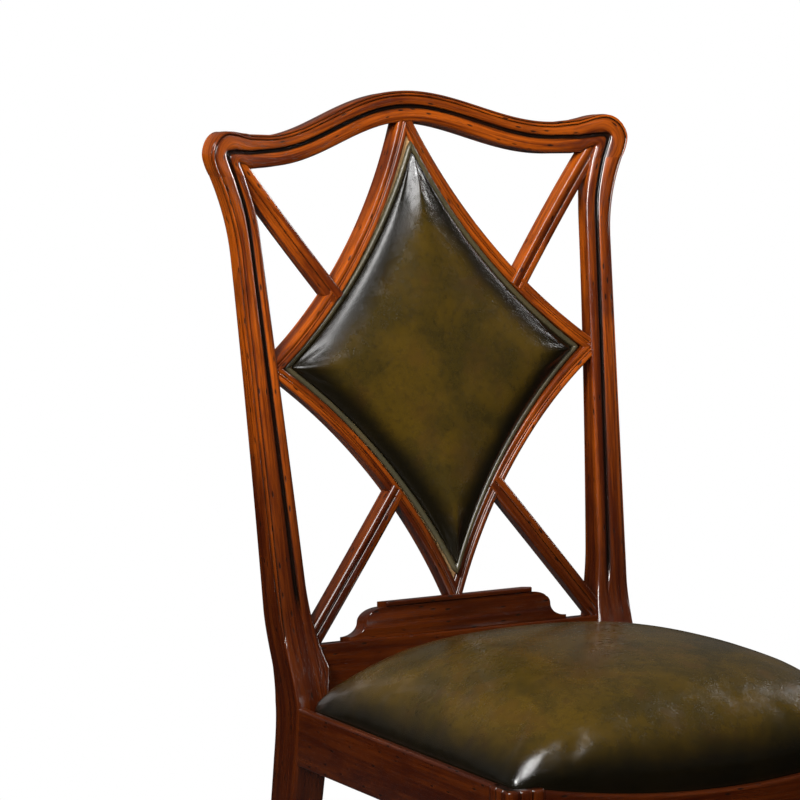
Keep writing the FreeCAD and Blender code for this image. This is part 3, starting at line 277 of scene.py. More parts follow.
def finishPiece(obj, material, body, *nodes, slot=None):
    obj.data.materials.clear()
    obj.data.materials.append(material)
    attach(obj, body)
    if nodes:
        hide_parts(*nodes)
    return obj


def finishWood(obj, *nodes):
    return finishPiece(obj, mahogany, "chair_frame", *nodes, slot="mahogany")


def meshObject(name, points, faces, values=None, sharpAngle=40):
    # points in millimetres; values are point attributes: (name, kind, numbers)
    mesh = bpy.data.meshes.new(name)
    mesh.from_pydata([tuple(point) for point in np.asarray(points, float) * mm], [], faces)
    for label, kind, numbers in values or ():
        layer = mesh.attributes.new(label, kind, "POINT")
        layer.data.foreach_set("vector" if kind == "FLOAT_VECTOR" else "value", np.asarray(numbers, np.float32).ravel())
    work = bmesh.new()
    work.from_mesh(mesh)
    bmesh.ops.recalc_face_normals(work, faces=work.faces)
    work.to_mesh(mesh)
    work.free()
    mesh.shade_smooth()
    mesh.set_sharp_from_angle(angle=math.radians(sharpAngle))
    obj = bpy.data.objects.new(name, mesh)
    scene.collection.objects.link(obj)
    return obj


def skin(count, around):
    # faces between rings that all have the same number of points
    return [(i * around + j, i * around + n, (i + 1) * around + n, (i + 1) * around + j)
            for i in range(count - 1) for j, n in zip(range(around), list(range(1, around)) + [0])]


def mirrored(points):
    return [Vector((-p.x, p.y, p.z)) for p in points]


def loft(name, rings, grain, grimeAndShade, sharpAngle=40):
    rings = np.asarray(rings, float)
    count, around = rings.shape[:2]
    faces = skin(count, around) + [tuple(range(around)), tuple((count - 1) * around + j for j in range(around))]
    # each point carries its darkness: dirt and painted shade in grooves, corners and under edges
    values = [("grain", "FLOAT_VECTOR", np.asarray(grain, float) * mm), ("grimeAndShade", "FLOAT", grimeAndShade)]
    return meshObject(name, rings.reshape(-1, 3), faces, values, sharpAngle)


def bakeModifiers(obj):
    graph = bpy.context.evaluated_depsgraph_get()
    made = bpy.data.meshes.new_from_object(obj.evaluated_get(graph))
    old = obj.data
    obj.modifiers.clear()
    obj.data = made
    bpy.data.meshes.remove(old)


def thicken(obj, thick):
    wall = obj.modifiers.new("cloth", "SOLIDIFY")
    wall.thickness, wall.offset = thick * mm, 0
    bakeModifiers(obj)


def ramp(value, start, end):
    return min(max((value - start) / (end - start), 0.0), 1.0)


def ease(share):
    return share * share * (3 - 2 * share)


def between(first, second, share):
    return first + (second - first) * share


# lines of the back, in millimetres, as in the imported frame

backLines = {
    "postLine": 138, "set": 18, "kneeStart": 430, "kneeEnd": 530, "bendHeight": 425, "bendEase": 30,
    "rake": 8.67, "sweep": 10.5, "hollow": 28, "hollowStart": 496, "hollowEnd": 970.5, "halfSpacing": 225,
}
backTilt = math.tan(math.radians(backLines["rake"]))


def backLine(height):
    lines = backLines
    rise = height - lines["bendHeight"]
    slope = math.tan(math.radians(lines["rake"] if rise > 0 else lines["sweep"]))
    return lines["postLine"] + lines["set"] + slope * (math.hypot(rise, lines["bendEase"]) - lines["bendEase"])


def onBack(across, height, behind=0.0):
    lines = backLines
    share = (height - lines["hollowStart"]) / (lines["hollowEnd"] - lines["hollowStart"])
    hollow = lines["hollow"] * max(share, 0) ** 2
    return Vector((across, backLine(height) + hollow * (1 - (across / lines["halfSpacing"]) ** 2) + behind, height))


def onPost(across, height):
    # a post stands in front of the back's own line where it comes down to the seat
    knee = ease(ramp(height, backLines["kneeEnd"], backLines["kneeStart"]))
    return onBack(across, height, -backLines["set"] * knee)


# moulded sections: rounds between quirks on the front, flat sides, eased back corners

def rounds(stops, sinks, crowns, steps=12):
    # (share across, depth behind the front, dirt and painted shade in the quirk)
    points = []
    last = len(crowns) - 1
    for i, crown in enumerate(crowns):
        for k in range(steps + (i == last)):
            turn = math.pi * k / steps
            share, arch = (1 - math.cos(turn)) / 2, max(math.sin(turn), 0)
            low = between(sinks[i], sinks[i + 1], share)
            depth = low + (crown - low) * arch ** 0.9
            inQuirk = (share < 0.5 and i > 0) or (share > 0.5 and i < last)
            dirtAndShade = (1 - arch) ** 1.5 if inQuirk else 0
            points.append((between(stops[i], stops[i + 1], share), depth, dirtAndShade))
    return points


mouldShape = {"arris": 2.6, "quirk": 2.0, "deep": 2.9, "innerDrop": 3.4, "innerBead": 10.4, "deepWidth": 3.4}


def facePlace(along, sink, width):
    # a place on the unrolled face: from zero across the front, below zero down the outer side
    arris = mouldShape["arris"]
    if along <= -arris:
        return sink / width, -along
    if along >= arris:
        return along / width, sink
    turn = (along + arris) / arris * math.pi / 4
    aside, behind = (arris + along) ** 2 / (4 * arris), (arris - along) ** 2 / (4 * arris)
    return (aside + sink * math.cos(turn)) / width, behind + sink * math.sin(turn)


def mouldedFace(width, depth, lines, fine=1.0, deepShare=1.0):
    # lines are the two fine quirks and the two edges of the deep groove, in mm from the outer arris
    shape = mouldShape
    first, second, start, end = lines
    quirk, deep = shape["quirk"] * fine, shape["deep"] * deepShare
    # each band: its edges, how far they are sunk, the sink at its crown, steps
    bands = ((-depth * 0.8, first, 0.5, quirk, 0, 9), (first, second, quirk, quirk, 0, 10),
             (second, start, quirk, deep, 0, 14), (start, end, deep, deep, deep * 1.15, 5),
             (end, width, deep * 0.9, shape["innerDrop"], 0, 13))
    points = []
    for number, (near, far, low, high, crown, steps) in enumerate(bands):
        for k in range(steps + (number == 4)):
            turn = math.pi * k / steps
            share, arch = (1 - math.cos(turn)) / 2, max(math.sin(turn), 0)
            base = between(low, high, share)
            sink = base + (crown - base) * arch ** 0.9
            # the quirks and the deep groove darken: dirt and painted shade
            dirtAndShade = 0.8 if number == 3 else 1 - arch
            if (number == 0 and share < 0.5) or (number == 4 and share > 0.5):
                dirtAndShade = 0.0
            dirtAndShade *= deepShare if number > 2 or (number == 2 and share > 0.5) else fine
            points.append((*facePlace(between(near, far, share), sink, width), dirtAndShade))
    return points


def barSection(outer, inner, depth, front, easeBack=2.0, tilt=0.0, draw=0.0):
    # a ring of points round the bar, and the dirt and painted shade at each; draw narrows the back from the inner side
    width = (inner - outer).length
    back = Vector((0, 1, -tilt))
    ring, local, dirtAndShade = [], [], []

    def put(share, behind, dark):
        across = share * (1 - draw / width * behind / depth)
        ring.append(outer + (inner - outer) * across + back * behind)
        local.append((share * width, behind))
        dirtAndShade.append(dark)

    # the eased back corners take a little painted shade
    corner = [(1 - math.cos(math.pi / 6 * k), math.sin(math.pi / 6 * k)) for k in range(4)]
    for aside, along in corner[::-1]:
        put(easeBack * aside / width, depth - easeBack * (1 - along), 0.15)
    if front[0][1] < depth * 0.3:
        put(0, depth * 0.6, 0.0)
        put(0, depth * 0.35, 0.0)
    for share, behind, dark in front:
        put(share, behind, dark)
    put(1, depth * 0.35, 0.0)
    put(1, depth * 0.6, 0.05)
    for aside, along in corner:
        put(1 - easeBack * aside / width, depth - easeBack * (1 - along), 0.15)
    return ring, local, dirtAndShade


def barPiece(name, sections, seed, sharpAngle=40):
    # sections are (ring, local, dirt and painted shade); the grain runs from one to the next
    rings, grain, grimeAndShade, run, before = [], [], [], 0.0, None
    for ring, local, dirtAndShade in sections:
        middle = sum(ring, Vector()) / len(ring)
        run += (middle - before).length if before is not None else 0
        before = middle
        rings.append(ring)
        grain.append([(run + seed * 731, aside + seed * 57, behind + seed * 23) for aside, behind in local])
        grimeAndShade.append(dirtAndShade)
    return loft(name, rings, grain, grimeAndShade, sharpAngle)


def mirrorSections(sections):
    return [(mirrored(ring), local, dirtAndShade) for ring, local, dirtAndShade in sections]


# back posts with their rear legs

postShape = {
    "foot": 6, "joint": 949, "outer": 198.5, "lean": 18, "flareStart": 870, "flare": 16, "innerStart": 885,
    "innerLean": 7, "shoulder": 475, "railTop": 440, "railBottom": 383, "waistWidth": 22.5, "taper": 9.5,
    "shoulderFlare": 12, "reach": 85, "seatWidth": 35, "footWidth": 29, "waist": 850, "depths": (25, 38, 46, 32),
    "fuller": 2.5, "fullFrom": (480, 520), "fullTo": 900, "draw": 5,
    "sideQuirk": -7.5, "frontQuirk": 1.5, "stopFoot": 499, "stopHead": 566,
}


def postWidth(height):
    shape = postShape
    widest = shape["waistWidth"] + shape["taper"] + shape["shoulderFlare"]
    if height >= shape["shoulder"]:
        taper = shape["taper"] * ramp(height, shape["joint"], shape["shoulder"])
        flare = ramp(height, shape["shoulder"] + shape["reach"], shape["shoulder"]) ** 2
        return shape["waistWidth"] + taper + shape["shoulderFlare"] * flare
    if height >= shape["railTop"]:
        return between(shape["seatWidth"], widest, ramp(height, shape["railTop"], shape["shoulder"]))
    return between(shape["seatWidth"], shape["footWidth"], ramp(height, shape["railBottom"], 0))


def postDepth(height):
    shape = postShape
    waist, shoulder, seat, foot = shape["depths"]
    if height >= shape["shoulder"]:
        return between(waist, shoulder, ramp(height, shape["waist"], shape["shoulder"]) ** 1.5)
    if height >= shape["railTop"]:
        return between(seat, shoulder, ramp(height, shape["railTop"], shape["shoulder"]))
    return between(seat, foot, ramp(height, shape["railBottom"], 0))


def postEdges(height):
    shape = postShape
    outer = shape["outer"] + shape["lean"] * ramp(height, shape["railTop"], shape["joint"])
    flare = ramp(height, shape["flareStart"], shape["joint"]) ** 2
    lean = ramp(height, shape["innerStart"], shape["joint"]) ** 2.3
    return outer + shape["flare"] * flare, outer - postWidth(height) + shape["innerLean"] * lean


def postFace(height, width, depth):
    # the two fine quirks close to a point on the arris above the seat, the deep groove narrows and fades
    shape, mould = postShape, mouldShape
    run = ramp(height, shape["stopFoot"], shape["stopHead"]) ** 0.8
    fine = ramp(height, shape["stopFoot"] - 2, shape["stopFoot"] + 9)
    deep = ease(ramp(height, shape["stopFoot"] + 7, shape["stopFoot"] + 50))
    middle = width - mould["innerBead"] - mould["deepWidth"] / 2
    half = mould["deepWidth"] / 2 * (0.25 + 0.75 * deep)
    lines = (shape["sideQuirk"] * run - 0.3, shape["frontQuirk"] * run + 0.3, middle - half, middle + half)
    return mouldedFace(width, depth, lines, fine, deep)


def postSections():
    shape = postShape
    levels = (shape["foot"], shape["railBottom"], shape["stopFoot"] - 6, shape["stopHead"], shape["joint"])
    heights, sections = [shape["foot"]], []
    for low, high, steps in zip(levels, levels[1:], (26, 30, 34, 60)):
        heights += list(np.linspace(low, high, steps)[1:])
    for height in heights:
        outer, inner = postEdges(height)
        full = ease(ramp(height, *shape["fullFrom"])) * ease(ramp(height, shape["joint"], shape["fullTo"]))
        edges = onPost(-outer, height), onPost(-inner + shape["fuller"] * full, height)
        depth = postDepth(height)
        face = postFace(height, (edges[1] - edges[0]).length, depth)
        sections.append(barSection(*edges, depth, face, draw=shape["draw"] * full))
    return sections


post = postSections()
for side, sections, seed in (("left", post, 1), ("right", mirrorSections(post), 2)):
    finishWood(barPiece(f"{side}BackPost", sections, seed), f"{side}_back_post")
print("posts made")


# crest rail with its two ears

crestShape = {
    "height": 30.5, "rise": 35.5, "halfWave": 165, "depth": 25, "middle": 971.25, "pivot": 190,
    "lines": (0.09, 0.18, 0.46, 0.56), "innerPost": 11, "innerCrest": 6.5, "innerRise": 0.41, "lean": 0.385, "mitre": 7,
    "outer": ((0, 42.5), (13, 48.9), (23, 54), (33, 56.2), (43, 56.5), (52, 54.6), (63, 48.6), (76, 42.6), (90, 39.5)),
}


def turned(turn, fromPost, fromCrest, rise=0.08):
    # a line that comes up the post and turns along the crest with a tight corner, as a reach from the pivot
    shape = crestShape
    cosine, sine = math.cos(math.radians(turn)), math.sin(math.radians(turn))
    up, over = (cosine - shape["lean"] * sine) / fromPost, (sine - rise * cosine) / fromCrest
    return (max(up, 0) ** shape["mitre"] + max(over, 0) ** shape["mitre"]) ** (-1 / shape["mitre"])


def earReach(turn):
    # a smooth line through the reaches of the ear's outline
    table = crestShape["outer"]
    places, reaches = zip(*table)
    slopes = np.gradient(reaches, places)
    i = min(max(np.searchsorted(places, turn) - 1, 0), len(table) - 2)
    span = places[i + 1] - places[i]
    s = (turn - places[i]) / span
    near = reaches[i] * (1 + 2 * s) + slopes[i] * span * s
    far = reaches[i + 1] * (3 - 2 * s) + slopes[i + 1] * span * (s - 1)
    return near * (1 - s) ** 2 + far * s ** 2


def earSections(steps):
    shape, mould = crestShape, mouldShape
    sections = []
    for step in range(steps + 1):
        turn = 90 * step / steps
        share = turn / 90
        cosine, sine = math.cos(math.radians(turn)), math.sin(math.radians(turn))
        reach, inner = earReach(turn), turned(turn, shape["innerPost"], shape["innerCrest"], shape["innerRise"])
        ends = [onBack(-shape["pivot"] - radius * cosine, postShape["joint"] + radius * sine)
                for radius in (reach, inner)]
        beads = [mould["innerBead"] + mould["deepWidth"], mould["innerBead"]]
        onCrest = [(1 - place) * shape["height"] for place in shape["lines"][2:]]
        deep = [turned(turn, shape["innerPost"] + post, shape["innerCrest"] + crest)
                for post, crest in zip(beads, onCrest)]
        first = between(postShape["sideQuirk"] - 0.3, shape["lines"][0] * shape["height"], ease(share))
        second = between(postShape["frontQuirk"] + 0.3, shape["lines"][1] * shape["height"], share)
        face = mouldedFace(reach - inner, shape["depth"], (first, second, reach - deep[0], reach - deep[1]))
        sections.append(barSection(*ends, shape["depth"], face, tilt=backTilt * share))
    return sections


def crestSections(steps):
    shape = crestShape
    face = mouldedFace(shape["height"], shape["depth"], [share * shape["height"] for share in shape["lines"]])
    sections = []
    for step in range(steps + 1):
        across = shape["halfWave"] * (2 * step / steps - 1)
        angle = math.pi * across / shape["halfWave"]
        middle = shape["middle"] + shape["rise"] * (1 + math.cos(angle)) / 2
        slope = -shape["rise"] * math.sin(angle) * math.pi / shape["halfWave"] / 2
        half = shape["height"] / 2 / math.hypot(1, slope)
        top = onBack(across - slope * half, middle + half)
        bottom = onBack(across + slope * half, middle - half)
        sections.append(barSection(top, bottom, shape["depth"], face, tilt=backTilt))
    return sections


leftEar = earSections(45)
crest = barPiece("crestRail", leftEar + crestSections(110) + mirrorSections(leftEar)[::-1], 3)
finishWood(crest, "crest_rail")
print("crest made")


# concave diamond and its struts

diamondShape = {
    "middle": 761.245, "halfWidth": 161, "cornerRise": 26.6, "tipWidth": 9.6, "halfRise": 227.5,
    "radius": 530, "width": 13, "depth": 18, "setback": 2, "sideLimit": 183, "topLimit": 236,
    "stops": (0, 0.42, 0.58, 1), "sinks": (2.2, 1.5, 1.5, 3.0), "crowns": (0, 0.2, 0.4),
}


def diamondCentre():
    shape = diamondShape
    side, top = Vector((shape["halfWidth"], shape["cornerRise"])), Vector((shape["tipWidth"], shape["halfRise"]))
    chord = top - side
    away = math.sqrt(shape["radius"] ** 2 - (chord.length / 2) ** 2)
    return (side + top) / 2 + Vector((chord.y, -chord.x)).normalized() * away


bowCentre = diamondCentre()


def armSections(up, steps=64):
    shape = diamondShape
    face = rounds(shape["stops"], shape["sinks"], shape["crowns"], 10)
    # the arm's sides take painted shade, most on the side next to the pad
    profile = [(0, shape["depth"], 0.2), (0, shape["depth"] * 0.5, 0)] + face
    profile += [(1, shape["depth"] * 0.5, 0.6), (1, shape["depth"], 0.2)]
    sections = []
    for step in range(steps + 1):
        ring, local, dirtAndShade = [], [], []
        for share, behind, dark in profile:
            radius = shape["radius"] + shape["width"] * share
            first = math.asin(bowCentre.y / radius)
            first = min(first, math.acos((bowCentre.x - shape["sideLimit"]) / radius))
            last = math.acos(bowCentre.x / radius)
            last = max(last, math.asin((bowCentre.y - shape["topLimit"]) / radius))
            turn = between(first, last, step / steps)
            across = bowCentre.x - radius * math.cos(turn)
            rise = bowCentre.y - radius * math.sin(turn)
            ring.append(onBack(-across, shape["middle"] + up * rise, shape["setback"] + behind))
            local.append((share * shape["width"], behind))
            dirtAndShade.append(dark)
        sections.append((ring, local, dirtAndShade))
    return sections


strutShape = {
    "width": 18, "depth": 17, "stops": (0, 0.45, 1), "sinks": (3.4, 1.7, 3.4), "crowns": (0, 0),
    "upper": ((206.2, 958.5, 4.0), (104.6, 824.5, 1.2)), "lower": ((55.2, 636.1, 1.2), (172.1, 489.5, 2.0)),
}


def strutSections(ends, steps=24):
    shape = strutShape
    (x0, z0, back0), (x1, z1, back1) = ends
    run = Vector((x0 - x1, 0, z1 - z0)).normalized()
    side = Vector((-run.z, 0, run.x)) * (shape["width"] / 2)
    side = side if side.x < 0 else -side
    face = rounds(shape["stops"], shape["sinks"], shape["crowns"], 12)
    sections = []
    for step in range(steps + 1):
        share = step / steps
        middle = onBack(-between(x0, x1, share), between(z0, z1, share), between(back0, back1, share))
        sections.append(barSection(middle + side, middle - side, shape["depth"], face, 1.5))
    return sections


for number, (label, up) in enumerate((("upper", 1), ("lower", -1))):
    left = armSections(up)
    leftStrut = strutSections(strutShape[label])
    pairs = (("left", left, leftStrut, 0), ("right", mirrorSections(left), mirrorSections(leftStrut), 4))
    for side, arm, strut, shift in pairs:
        name = label.capitalize()
        finishWood(barPiece(f"{side}{name}DiamondArm", arm, 4 + number + shift, 35), f"{side}_{label}_diamond_arm")
        finishWood(barPiece(f"{side}{name}Strut", strut, 6 + number + shift, 35), f"{side}_{label}_strut")
print("diamond and struts made")


# rails, shoe and front legs

def boxSection(corners, easeOff, steps=3):
    # a polygon in a plane with every corner eased; corners are 2-D points
    points = []
    count = len(corners)
    for i, corner in enumerate(corners):
        here = Vector(corner)
        before, after = Vector(corners[i - 1]) - here, Vector(corners[(i + 1) % count]) - here
        radius = min(easeOff[i], before.length * 0.45, after.length * 0.45)
        first, last = here + before.normalized() * radius, here + after.normalized() * radius
        for k in range(steps + 1):
            share = k / steps
            points.append(first * (1 - share) ** 2 + here * 2 * share * (1 - share) + last * share ** 2)
    return points


railShape = {
    "top": 440, "bottom": 383, "thick": 24, "lip": 9, "ledge": 418, "outer": 198, "line": 138, "splay": 3.5,
    "length": 387, "bow": 16, "dip": 18, "legSize": 38, "legFoot": 26, "legProud": 3, "reeds": 3, "reedDeep": 1.5,
    "legGap": 0.25, "legBase": 6, "sideTails": (8, 6), "frontStop": 26,
}


def sideFrame(along, inward, height):
    turn = math.radians(railShape["splay"])
    sine, cosine = math.sin(turn), math.cos(turn)
    across = -railShape["outer"] - along * sine + inward * cosine
    return Vector((across, railShape["line"] - along * cosine - inward * sine, height))


def railProfile(top):
    shape = railShape
    corners = [(0, shape["bottom"]), (0, top), (shape["lip"], top), (shape["lip"], shape["ledge"]),
               (shape["thick"], shape["ledge"]), (shape["thick"], shape["bottom"])]
    if top - shape["ledge"] < 3:
        corners[2:4] = [(shape["lip"], top), (shape["lip"], top - 3)]
    return boxSection(corners, (1.5, 3.2, 2.0, 0.5, 1, 1.5), 4)


def sideRail(name, mirror, seed):
    shape = railShape
    sections = []
    rear, front = shape["sideTails"]
    for along in np.linspace(-rear, shape["length"] + front, 40):
        profile = railProfile(shape["top"])
        ring = [sideFrame(along, aside, height) for aside, height in profile]
        if mirror:
            ring = mirrored(ring)
        # painted shade along the underside of the rail
        dirtAndShade = [0.25 * ramp(height, shape["bottom"] + 8, shape["bottom"]) for aside, height in profile]
        sections.append((ring, [(height, aside) for aside, height in profile], dirtAndShade))
    return barPiece(name, sections, seed, 35)


def frontHalf():
    shape = railShape
    start = shape["length"] + shape["legGap"]
    corner = sideFrame(start + shape["legSize"], -shape["legProud"], 0)
    face = sideFrame(start + shape["legSize"] - shape["legProud"], shape["thick"], 0)
    return corner, face


def frontRail():
    shape = railShape
    corner, face = frontHalf()
    half = abs(face.x)
    radius = (half ** 2 + shape["bow"] ** 2) / (2 * shape["bow"])
    centre = face.y - shape["bow"] + radius
    dipRadius = (half ** 2 + shape["dip"] ** 2) / (2 * shape["dip"])
    reach = math.asin((abs(corner.x) - shape["frontStop"]) / radius)
    sections = []
    for turn in np.linspace(-reach, reach, 70):
        across = radius * math.sin(turn)
        inDip = max(dipRadius ** 2 - across ** 2, 0)
        top = min(shape["top"] - shape["dip"] + dipRadius - math.sqrt(inDip), shape["top"])
        profile = railProfile(top)
        ring = []
        for aside, height in profile:
            small = radius - aside
            ring.append(Vector((small * math.sin(turn), centre - small * math.cos(turn), height)))
        # painted shade along the underside of the rail
        dirtAndShade = [0.2 * ramp(height, shape["bottom"] + 8, shape["bottom"]) for aside, height in profile]
        sections.append((ring, [(height, aside) for aside, height in profile], dirtAndShade))
    return barPiece("frontRail", sections, 16, 35)


rearShape = {"top": 496, "face": 139, "front": 160, "foot": 24, "thick": 32, "half": 164}


def rearRail():
    # a shelf level with the side rails in front, the tall part behind it with a top that falls back
    shape, low, step = rearShape, railShape["bottom"], railShape["top"]
    back = shape["front"] + shape["thick"]
    corners = [(shape["face"], low), (shape["face"], step), (shape["front"], step), (shape["front"], shape["top"]),
               (back, shape["top"] - backTilt * shape["thick"]), (shape["front"] + shape["foot"], low)]
    profile = boxSection(corners, (1.5, 1.8, 0.6, 1.8, 1.8, 1.5), 4)
    sections = []
    for across in np.linspace(-shape["half"], shape["half"], 30):
        ring = [Vector((across, behind, height)) for behind, height in profile]
        # painted shade in the corner where the shelf meets the tall part
        dirtAndShade = [0.5 * ramp(abs(height - step), 6, 0) * ramp(behind, shape["front"] - 4, shape["front"])
                for behind, height in profile]
        sections.append((ring, [(height, behind) for behind, height in profile], dirtAndShade))
    return barPiece("rearRail", sections, 17, 35)


shoeShape = {
    "base": 495.39, "baseHalf": 126, "topHalf": 84, "height": 35.6, "step": 4, "fillet": 5, "turn": 0.45,
    "front": 164, "depth": 20, "proud": 1.4, "ease": 1.1, "grainShift": 911,
}


def shoeOutline():
    # the left half from the base up: a step, a hollow, a round and a fillet
    shape = shoeShape
    low, high = shape["base"] + shape["step"], shape["base"] + shape["height"] - shape["fillet"]
    foot, head = shape["baseHalf"], shape["topHalf"]
    middle, level = between(foot, head, shape["turn"]), (low + high) / 2
    left = [(-foot, shape["base"] - 1)]
    for turn in np.linspace(0, math.pi / 2, 15):
        left.append((-foot + (foot - middle) * math.sin(turn), level - (level - low) * math.cos(turn)))
    for turn in np.linspace(0, math.pi / 2, 17)[1:]:
        left.append((-head - (middle - head) * math.cos(turn), level + (high - level) * math.sin(turn)))
    return left + [(-head, high + 0.8), (-head, shape["base"] + shape["height"])], high


def shoe():
    shape = shoeShape
    left, high = shoeOutline()
    top = shape["base"] + shape["height"]
    rings, grain, grimeAndShade = [], [], []
    outline = left + [(-across, height) for across, height in reversed(left)]
    edge, deep = shape["ease"], shape["depth"]
    for behind, pull in ((0, edge), (0.35, 0.35), (edge, 0), (deep - edge, 0), (deep, edge)):
        ring, place, dirtAndShade = [], [], []
        for across, height in outline:
            x = across - math.copysign(pull, across)
            z = height - (pull if height > top - 0.1 else 0) - backTilt * behind
            ring.append(Vector((x, shape["front"] + behind, z)))
            place.append((x + shape["grainShift"], height, behind))
            # painted shade along the foot of the shoe and under its fillet line
            dirtAndShade.append(0.55 * ramp(height, shape["base"] + 4, shape["base"]) + 0.4 * ramp(abs(height - high), 1.5, 0))
        rings.append(ring)
        grain.append(place)
        grimeAndShade.append(dirtAndShade)
    return loft("backShoe", rings, grain, grimeAndShade, 35)


def shoeFillet():
    # small moulding along the top of the shoe's face, with a dark line of painted shade under it
    shape, proud = shoeShape, shoeShape["proud"]
    low, top = shape["base"] + shape["height"] - shape["fillet"], shape["base"] + shape["height"] - 0.3
    face = ((0.8, low, 1.0), (-0.4, low, 0.9), (-proud, low + 0.9, 0.2), (-proud, top - 0.9, 0.0), (-0.4, top, 0.0),
            (0.8, top, 0.0))
    rings, grain, grimeAndShade = [], [], []
    end = shape["topHalf"]
    for across, draw in ((-end, 0.8), (0.8 - end, 0), (end - 0.8, 0), (end, 0.8)):
        rings.append([Vector((across, shape["front"] + max(behind, draw - proud), height))
                      for behind, height, dark in face])
        grain.append([(across + shape["grainShift"], height, behind) for behind, height, dark in face])
        grimeAndShade.append([dark for behind, height, dark in face])
    return loft("backShoeFillet", rings, grain, grimeAndShade, 35)


def frontLeg(name, mirror, seed):
    # square to the side rail, three reeds on each outer face, tapered on the two inner faces
    shape = railShape
    corner = shape["length"] + shape["legGap"] + shape["legSize"]
    face = -shape["legProud"]

    def ringAt(height, width, draw):
        points, dirtAndShade = [], []
        stops = tuple(np.linspace(0, 1, shape["reeds"] + 1))
        reedFace = rounds(stops, (1.6, shape["reedDeep"], shape["reedDeep"], 1.2), (0, 0, 0), 8)
        for share, behind, dark in reedFace:
            points.append((corner - width + share * (width - 1.2), face + behind + draw))
            dirtAndShade.append(dark)
        for share, behind, dark in [(1 - s, b, d) for s, b, d in reedFace][::-1]:
            points.append((corner - behind - draw, face + 1.2 + share * (width - 1.2)))
            dirtAndShade.append(dark)
        points += [(corner - width * 0.5, face + width), (corner - width + 1, face + width),
                   (corner - width, face + width - 1)]
        # a little painted shade on the back corners
        dirtAndShade += [0, 0.1, 0.1]
        ring = [sideFrame(along, inward, height) for along, inward in points]
        if mirror:
            ring = mirrored(ring)
        return ring, [(along, inward) for along, inward in points], dirtAndShade

    foot, head, size = shape["legBase"], shape["top"], shape["legSize"]
    stations = [(height, between(shape["legFoot"], size, (height - foot) / (shape["bottom"] - foot)), 0)
                for height in np.linspace(foot, shape["bottom"], 30)]
    stations += [(height, size, 0) for height in np.linspace(shape["bottom"], head - 2.5, 8)[1:]]
    stations += [(head - 1.2, size, 0.4), (head - 0.3, size, 1.2), (head, size, 2.4)]
    return barPiece(name, [ringAt(*station) for station in stations], seed, 35)


def cutLegTop(leg, mirror):
    # the corner of the seat's opening, cut out of the leg's head
    shape = railShape
    start = shape["length"] + shape["legGap"] - shape["lip"] - shape["legProud"]
    size, lip = shape["legSize"], shape["lip"]
    corners = [(start, lip), (start + size, lip), (start + size, lip + size), (start, lip + size)]
    points = [sideFrame(*corner, height) for height in (shape["ledge"], shape["top"] + 20) for corner in corners]
    if mirror:
        points = mirrored(points)
    faces = [(3, 2, 1, 0), (4, 5, 6, 7), (0, 1, 5, 4), (1, 2, 6, 5), (2, 3, 7, 6), (3, 0, 4, 7)]
    cutter = meshObject("legCutter", points, faces)
    trim = leg.modifiers.new("opening", "BOOLEAN")
    trim.object, trim.operation, trim.solver = cutter, "DIFFERENCE", "EXACT"
    bakeModifiers(leg)
    bpy.data.objects.remove(cutter)


for side, mirror in (("left", False), ("right", True)):
    finishWood(sideRail(f"{side}SideRail", mirror, 14 + mirror), f"{side}_side_rail")
    leg = frontLeg(f"{side}FrontLeg", mirror, 18 + mirror)
    cutLegTop(leg, mirror)
    finishWood(leg, f"{side}_front_leg")
for make, node in ((frontRail, "front_rail"), (rearRail, "rear_rail"), (shoe, "back_shoe")):
    finishWood(make(), node)
finishWood(shoeFillet())
print("rails, shoe and legs made")


# padded pieces are blown up a little as cloth, with their edges held

def places(mesh):
    numbers = np.empty(len(mesh.vertices) * 3)
    mesh.vertices.foreach_get("co", numbers)
    return numbers.reshape(-1, 3)


def swell(obj, soft, held):
    # held says which points stay; no point moves further than the cap
    start = places(obj.data)
    group = obj.vertex_groups.new(name="held")
    group.add([int(i) for i in np.nonzero(held(start))[0]], 1.0, "REPLACE")
    cloth = obj.modifiers.new("swell", "CLOTH")
    setup = cloth.settings
    setup.quality, setup.mass = 4, soft["mass"]
    setup.use_pressure, setup.uniform_pressure_force = True, soft["pressure"]
    setup.shrink_min = soft["slack"]
    setup.vertex_group_mass = "held"
    setup.effector_weights.gravity = 0
    cloth.collision_settings.use_collision = False
    for step in range(1, soft["frames"] + 1):
        scene.frame_set(step)
    bakeModifiers(obj)
    scene.frame_set(1)
    move = places(obj.data) - start
    reach = np.maximum(np.linalg.norm(move, axis=1), 1e-9)[:, None]
    obj.data.vertices.foreach_set("co", (start + move * np.minimum(1, soft["cap"] / reach)).ravel())
    obj.data.update()
    obj.vertex_groups.remove(obj.vertex_groups["held"])
    print(f"{obj.name} swelled by up to {reach.max() * 1000:.1f} mm, capped at {soft['cap'] * 1000:.0f}")


def smoothed(obj):
    finer = obj.modifiers.new("finer", "SUBSURF")
    finer.levels = finer.render_levels = 1
    bakeModifiers(obj)
    obj.data.shade_smooth()


# back pad: leather crowned over foam inside the diamond

padShape = {
    "gap": 0.4, "pipingRadius": 2.8, "pipingRoom": 0.25, "pipingRecess": 1.5, "recess": 8, "crown": 11.5, "crownPower": 5,
    "rows": 96, "columns": 44, "boardThick": 6, "burnish": 46,
    "liningInset": 0.6, "liningRows": 40, "liningColumns": 24, "liningGap": 0.15, "liningBulge": 0.8, "liningThick": 0.6,
    "soft": {"pressure": 3, "mass": 0.25, "slack": 0.0, "frames": 16, "cap": 0.005},
}


def panelLines():
    diamond = diamondShape
    top = onBack(0, diamond["middle"] + diamond["halfRise"]).y
    bottom = onBack(0, diamond["middle"] - diamond["halfRise"]).y
    side = onBack(diamond["halfWidth"], diamond["middle"]).y
    return ((top + bottom) / 2 + side) / 2 + diamond["setback"], (top - bottom) / (2 * diamond["halfRise"])


